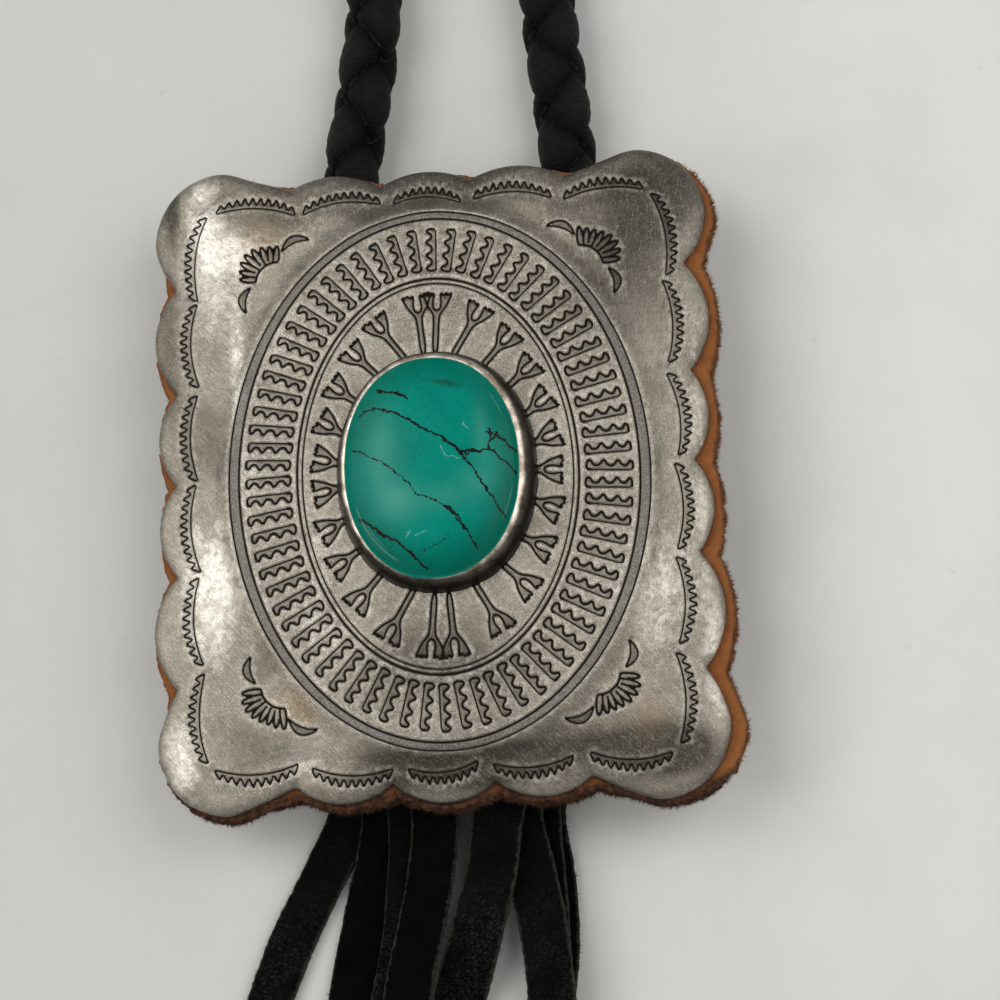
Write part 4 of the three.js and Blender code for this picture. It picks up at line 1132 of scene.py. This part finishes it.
def strip(name, w, xs, zs, suede, crackle_and_sheen, k):
    path = catmull([(x, y, z + STRIP_T / 2) for x, y, z in zip(xs, STRIP_Y, zs)], 0.45)
    n = len(path)
    tan_ = np.gradient(path, axis=0)
    tan_ /= np.linalg.norm(tan_, axis=1)[:, None]
    side = np.cross(tan_, [0, 0, 1.0])
    side /= np.linalg.norm(side, axis=1)[:, None]
    up = np.cross(side, tan_)
    cols = [(-1, -.35), (-1.02, 0), (-1, .3), (-.95, .45), (-.82, .5), (-.5, .5), (-.2, .5), (.1, .5), (.4, .5), (.7, .5), (.86, .5), (.96, .44), (1, .3), (1.02, 0), (1, -.35), (.9, -.5), (0, -.5), (-.9, -.5)]
    edge = [1, 1, 1, .9, .55, .1, 0, 0, 0, .15, .6, .9, 1, 1, 1, .8, 0, .8]
    verts, ea = [], []
    s = np.arange(n) * 0.45
    wl = wobble([(a, k * 7.0, None) for a in s], 1.7, k + 1.0) * 0.12 + wobble([(a, k * 7.0, None) for a in s], 0.10, k + 2.0) * 0.22
    wr = wobble([(a, k * 9.0, None) for a in s], 1.7, k + 5.0) * 0.12 + wobble([(a, k * 9.0, None) for a in s], 0.10, k + 6.0) * 0.22
    curl = wobble([(a, k * 3.0, None) for a in s], 0.05, k + 9.0)
    lift = wobble([(a, k * 5.0, None) for a in s], 0.045, k + 3.0) * 0.5
    for i in range(n):
        for (u, h) in cols:
            hw = w / 2 + (wl[i] if u < 0 else wr[i]) * abs(u)
            z = h * STRIP_T + (curl[i] * 0.5 * u + 0.12 * abs(curl[i]) * u * u * 3) + lift[i]
            verts.append(path[i] + side[i] * u * hw + up[i] * z)
        ea += edge
    V = np.array(verts)
    if name == "fringe_7":  # lies on fringe_8 here, and keeps clear of it
        V[:, 2] += 0.28 * smooth((-50.0 - V[:, 1]) / 8.0) * smooth((V[:, 1] + 78.0) / 8.0)
    V[:, 2] = np.maximum(V[:, 2], 0.03)
    m_ = len(cols)
    F = []
    for i in range(n - 1):
        for j in range(m_):
            a, b = i * m_ + j, i * m_ + (j + 1) % m_
            F.append((a, a + m_, b + m_, b))
    F.append([j for j in range(m_)])
    F.append([(n - 1) * m_ + j for j in range(m_)][::-1])
    # the crackled grain and its painted highlight fade in from y = -50 to -60 mm, so the strips are lighter further
    # from the plate
    crk_and_sheen = crackle_and_sheen * smooth((-50.0 - V[:, 1]) / 10.0)
    ob = make(name + "_strip", V, F, {"edge": ea, "suede": np.full(len(V), float(suede)), "crackle_and_sheen": crk_and_sheen})
    cnt = 950
    idx = rng.integers(4, n - 1, cnt)
    sg = rng.choice([-1.0, 1.0], cnt)
    roots = np.array([V[i * m_ + (1 if g < 0 else 13)] for i, g in zip(idx, sg)]) + rng.normal(size=(cnt, 3)) * [0, 0, 0.3]
    dirs = side[idx] * sg[:, None] + rng.normal(size=(cnt, 3)) * 0.75
    V2, F2 = fibres(roots, dirs, 0.43, 0.05, 1, "f")
    fz = make(name + "_fuzz", V2, F2, {"edge": np.full(len(V2), 0.2), "suede": np.ones(len(V2)), "crackle_and_sheen": np.zeros(len(V2))}, smooth=False)
    return ob, fz


for k, (name, w, xs, zs, su, cr) in enumerate(STRIPS):
    ob, fz = strip(name, w, xs, zs, su, cr, k)
    finish_piece(ob, suede_black if su > 0.8 else black, name)
    finish_piece(fz, suede_black, name)

# ---- floor and light ----------------------------------------------------------------------
fm = Nodes("floor")
sp = fm.t.nodes.new("ShaderNodeSeparateXYZ")
fm.link(fm.pos, sp.inputs[0])
# painted light falloff: the floor's colour gets darker towards the left
painted_falloff = fm.ramp(fm.math("ADD", fm.math("MULTIPLY", sp.outputs[0], 0.006), 0.5), [(0.1, (0.525, 0.53, 0.512)), (0.9, (0.65, 0.655, 0.638))])
blotch = fm.ramp(fm.noise(0.035, 5, 0.6), [(0.45, 0), (0.75, 1)])
fcol = fm.mix(fm.math("MULTIPLY", blotch, 0.30), painted_falloff, (0.47, 0.475, 0.475))
fcol = fm.mix(fm.math("MULTIPLY", fm.ramp(fm.noise(0.32, 3, 0.5), [(0.70, 0), (0.78, 1)]), 0.22), fcol, (0.32, 0.32, 0.31))
fm.set(Base_Color=fcol, Roughness=0.55, Normal=fm.bump(fm.noise(2.0, 4, 0.6), 0.08, 0.0002))
floor = make("floor", [(-3000, -3000, -0.02), (3000, -3000, -0.02), (3000, 3000, -0.02), (-3000, 3000, -0.02)], [(0, 1, 2, 3)], smooth=False)
floor.data.materials.append(fm.mat)

# Soft room: bright to the left and right, darker overhead, behind and in front.
world = bpy.data.worlds.new("world")
bpy.context.scene.world = world
world.use_nodes = True
wt = world.node_tree
bg = wt.nodes["Background"]
tcw = wt.nodes.new("ShaderNodeTexCoord")
spw = wt.nodes.new("ShaderNodeSeparateXYZ")
wt.links.new(tcw.outputs["Generated"], spw.inputs[0])
half = wt.nodes.new("ShaderNodeMath")
half.operation = "MULTIPLY_ADD"
half.inputs[1].default_value = 0.5
half.inputs[2].default_value = 0.5
wt.links.new(spw.outputs[0], half.inputs[0])
rp = wt.nodes.new("ShaderNodeValToRGB")
el_ = rp.color_ramp.elements
ROOM = [(0.0, 0.55), (0.14, 0.85), (0.30, 0.85), (0.42, 0.24), (0.50, 0.13), (0.585, 0.28), (0.70, 0.85), (0.86, 0.80), (1.0, 0.55)]
while len(el_) < len(ROOM):
    el_.new(0.5)
for e_, (q_, c_) in zip(el_, ROOM):
    e_.position = q_
    e_.color = (c_, c_ * 0.995, c_ * 0.97, 1)
wt.links.new(half.outputs[0], rp.inputs["Fac"])
wt.links.new(rp.outputs["Color"], bg.inputs["Color"])
bg.inputs["Strength"].default_value = 1.0


def area(name, pos, target, size, power, color=(1, 1, 1), size_y=None):
    ld = bpy.data.lights.new(name, "AREA")
    ld.energy = power
    ld.color = color
    ld.shape = "RECTANGLE"
    ld.size = size
    ld.size_y = size_y or size
    ob = bpy.data.objects.new(name, ld)
    bpy.context.scene.collection.objects.link(ob)
    ob.location = Vector(pos)
    ob.rotation_euler = (Vector(target) - Vector(pos)).to_track_quat("-Z", "Y").to_euler()
    return ob


area("key_left", (-0.36, 0.17, 0.60), (0, 0, 0.0), 0.34, 1.48, (1.0, 0.98, 0.94), 0.50)
area("left_low", (-0.44, -0.14, 0.40), (0, 0, 0.0), 0.16, 0.35, (1.0, 0.98, 0.94))
area("right", (0.38, 0.13, 0.60), (0, 0, 0.0), 0.34, 1.32, (1.0, 0.98, 0.95), 0.50)
area("front", (-0.13, -0.62, 0.42), (0, -0.03, 0.0), 0.22, 0.22, (1.0, 0.98, 0.96))

vs = bpy.context.scene.view_settings
vs.view_transform = "Standard"
vs.look = "None"
vs.exposure = 0.0
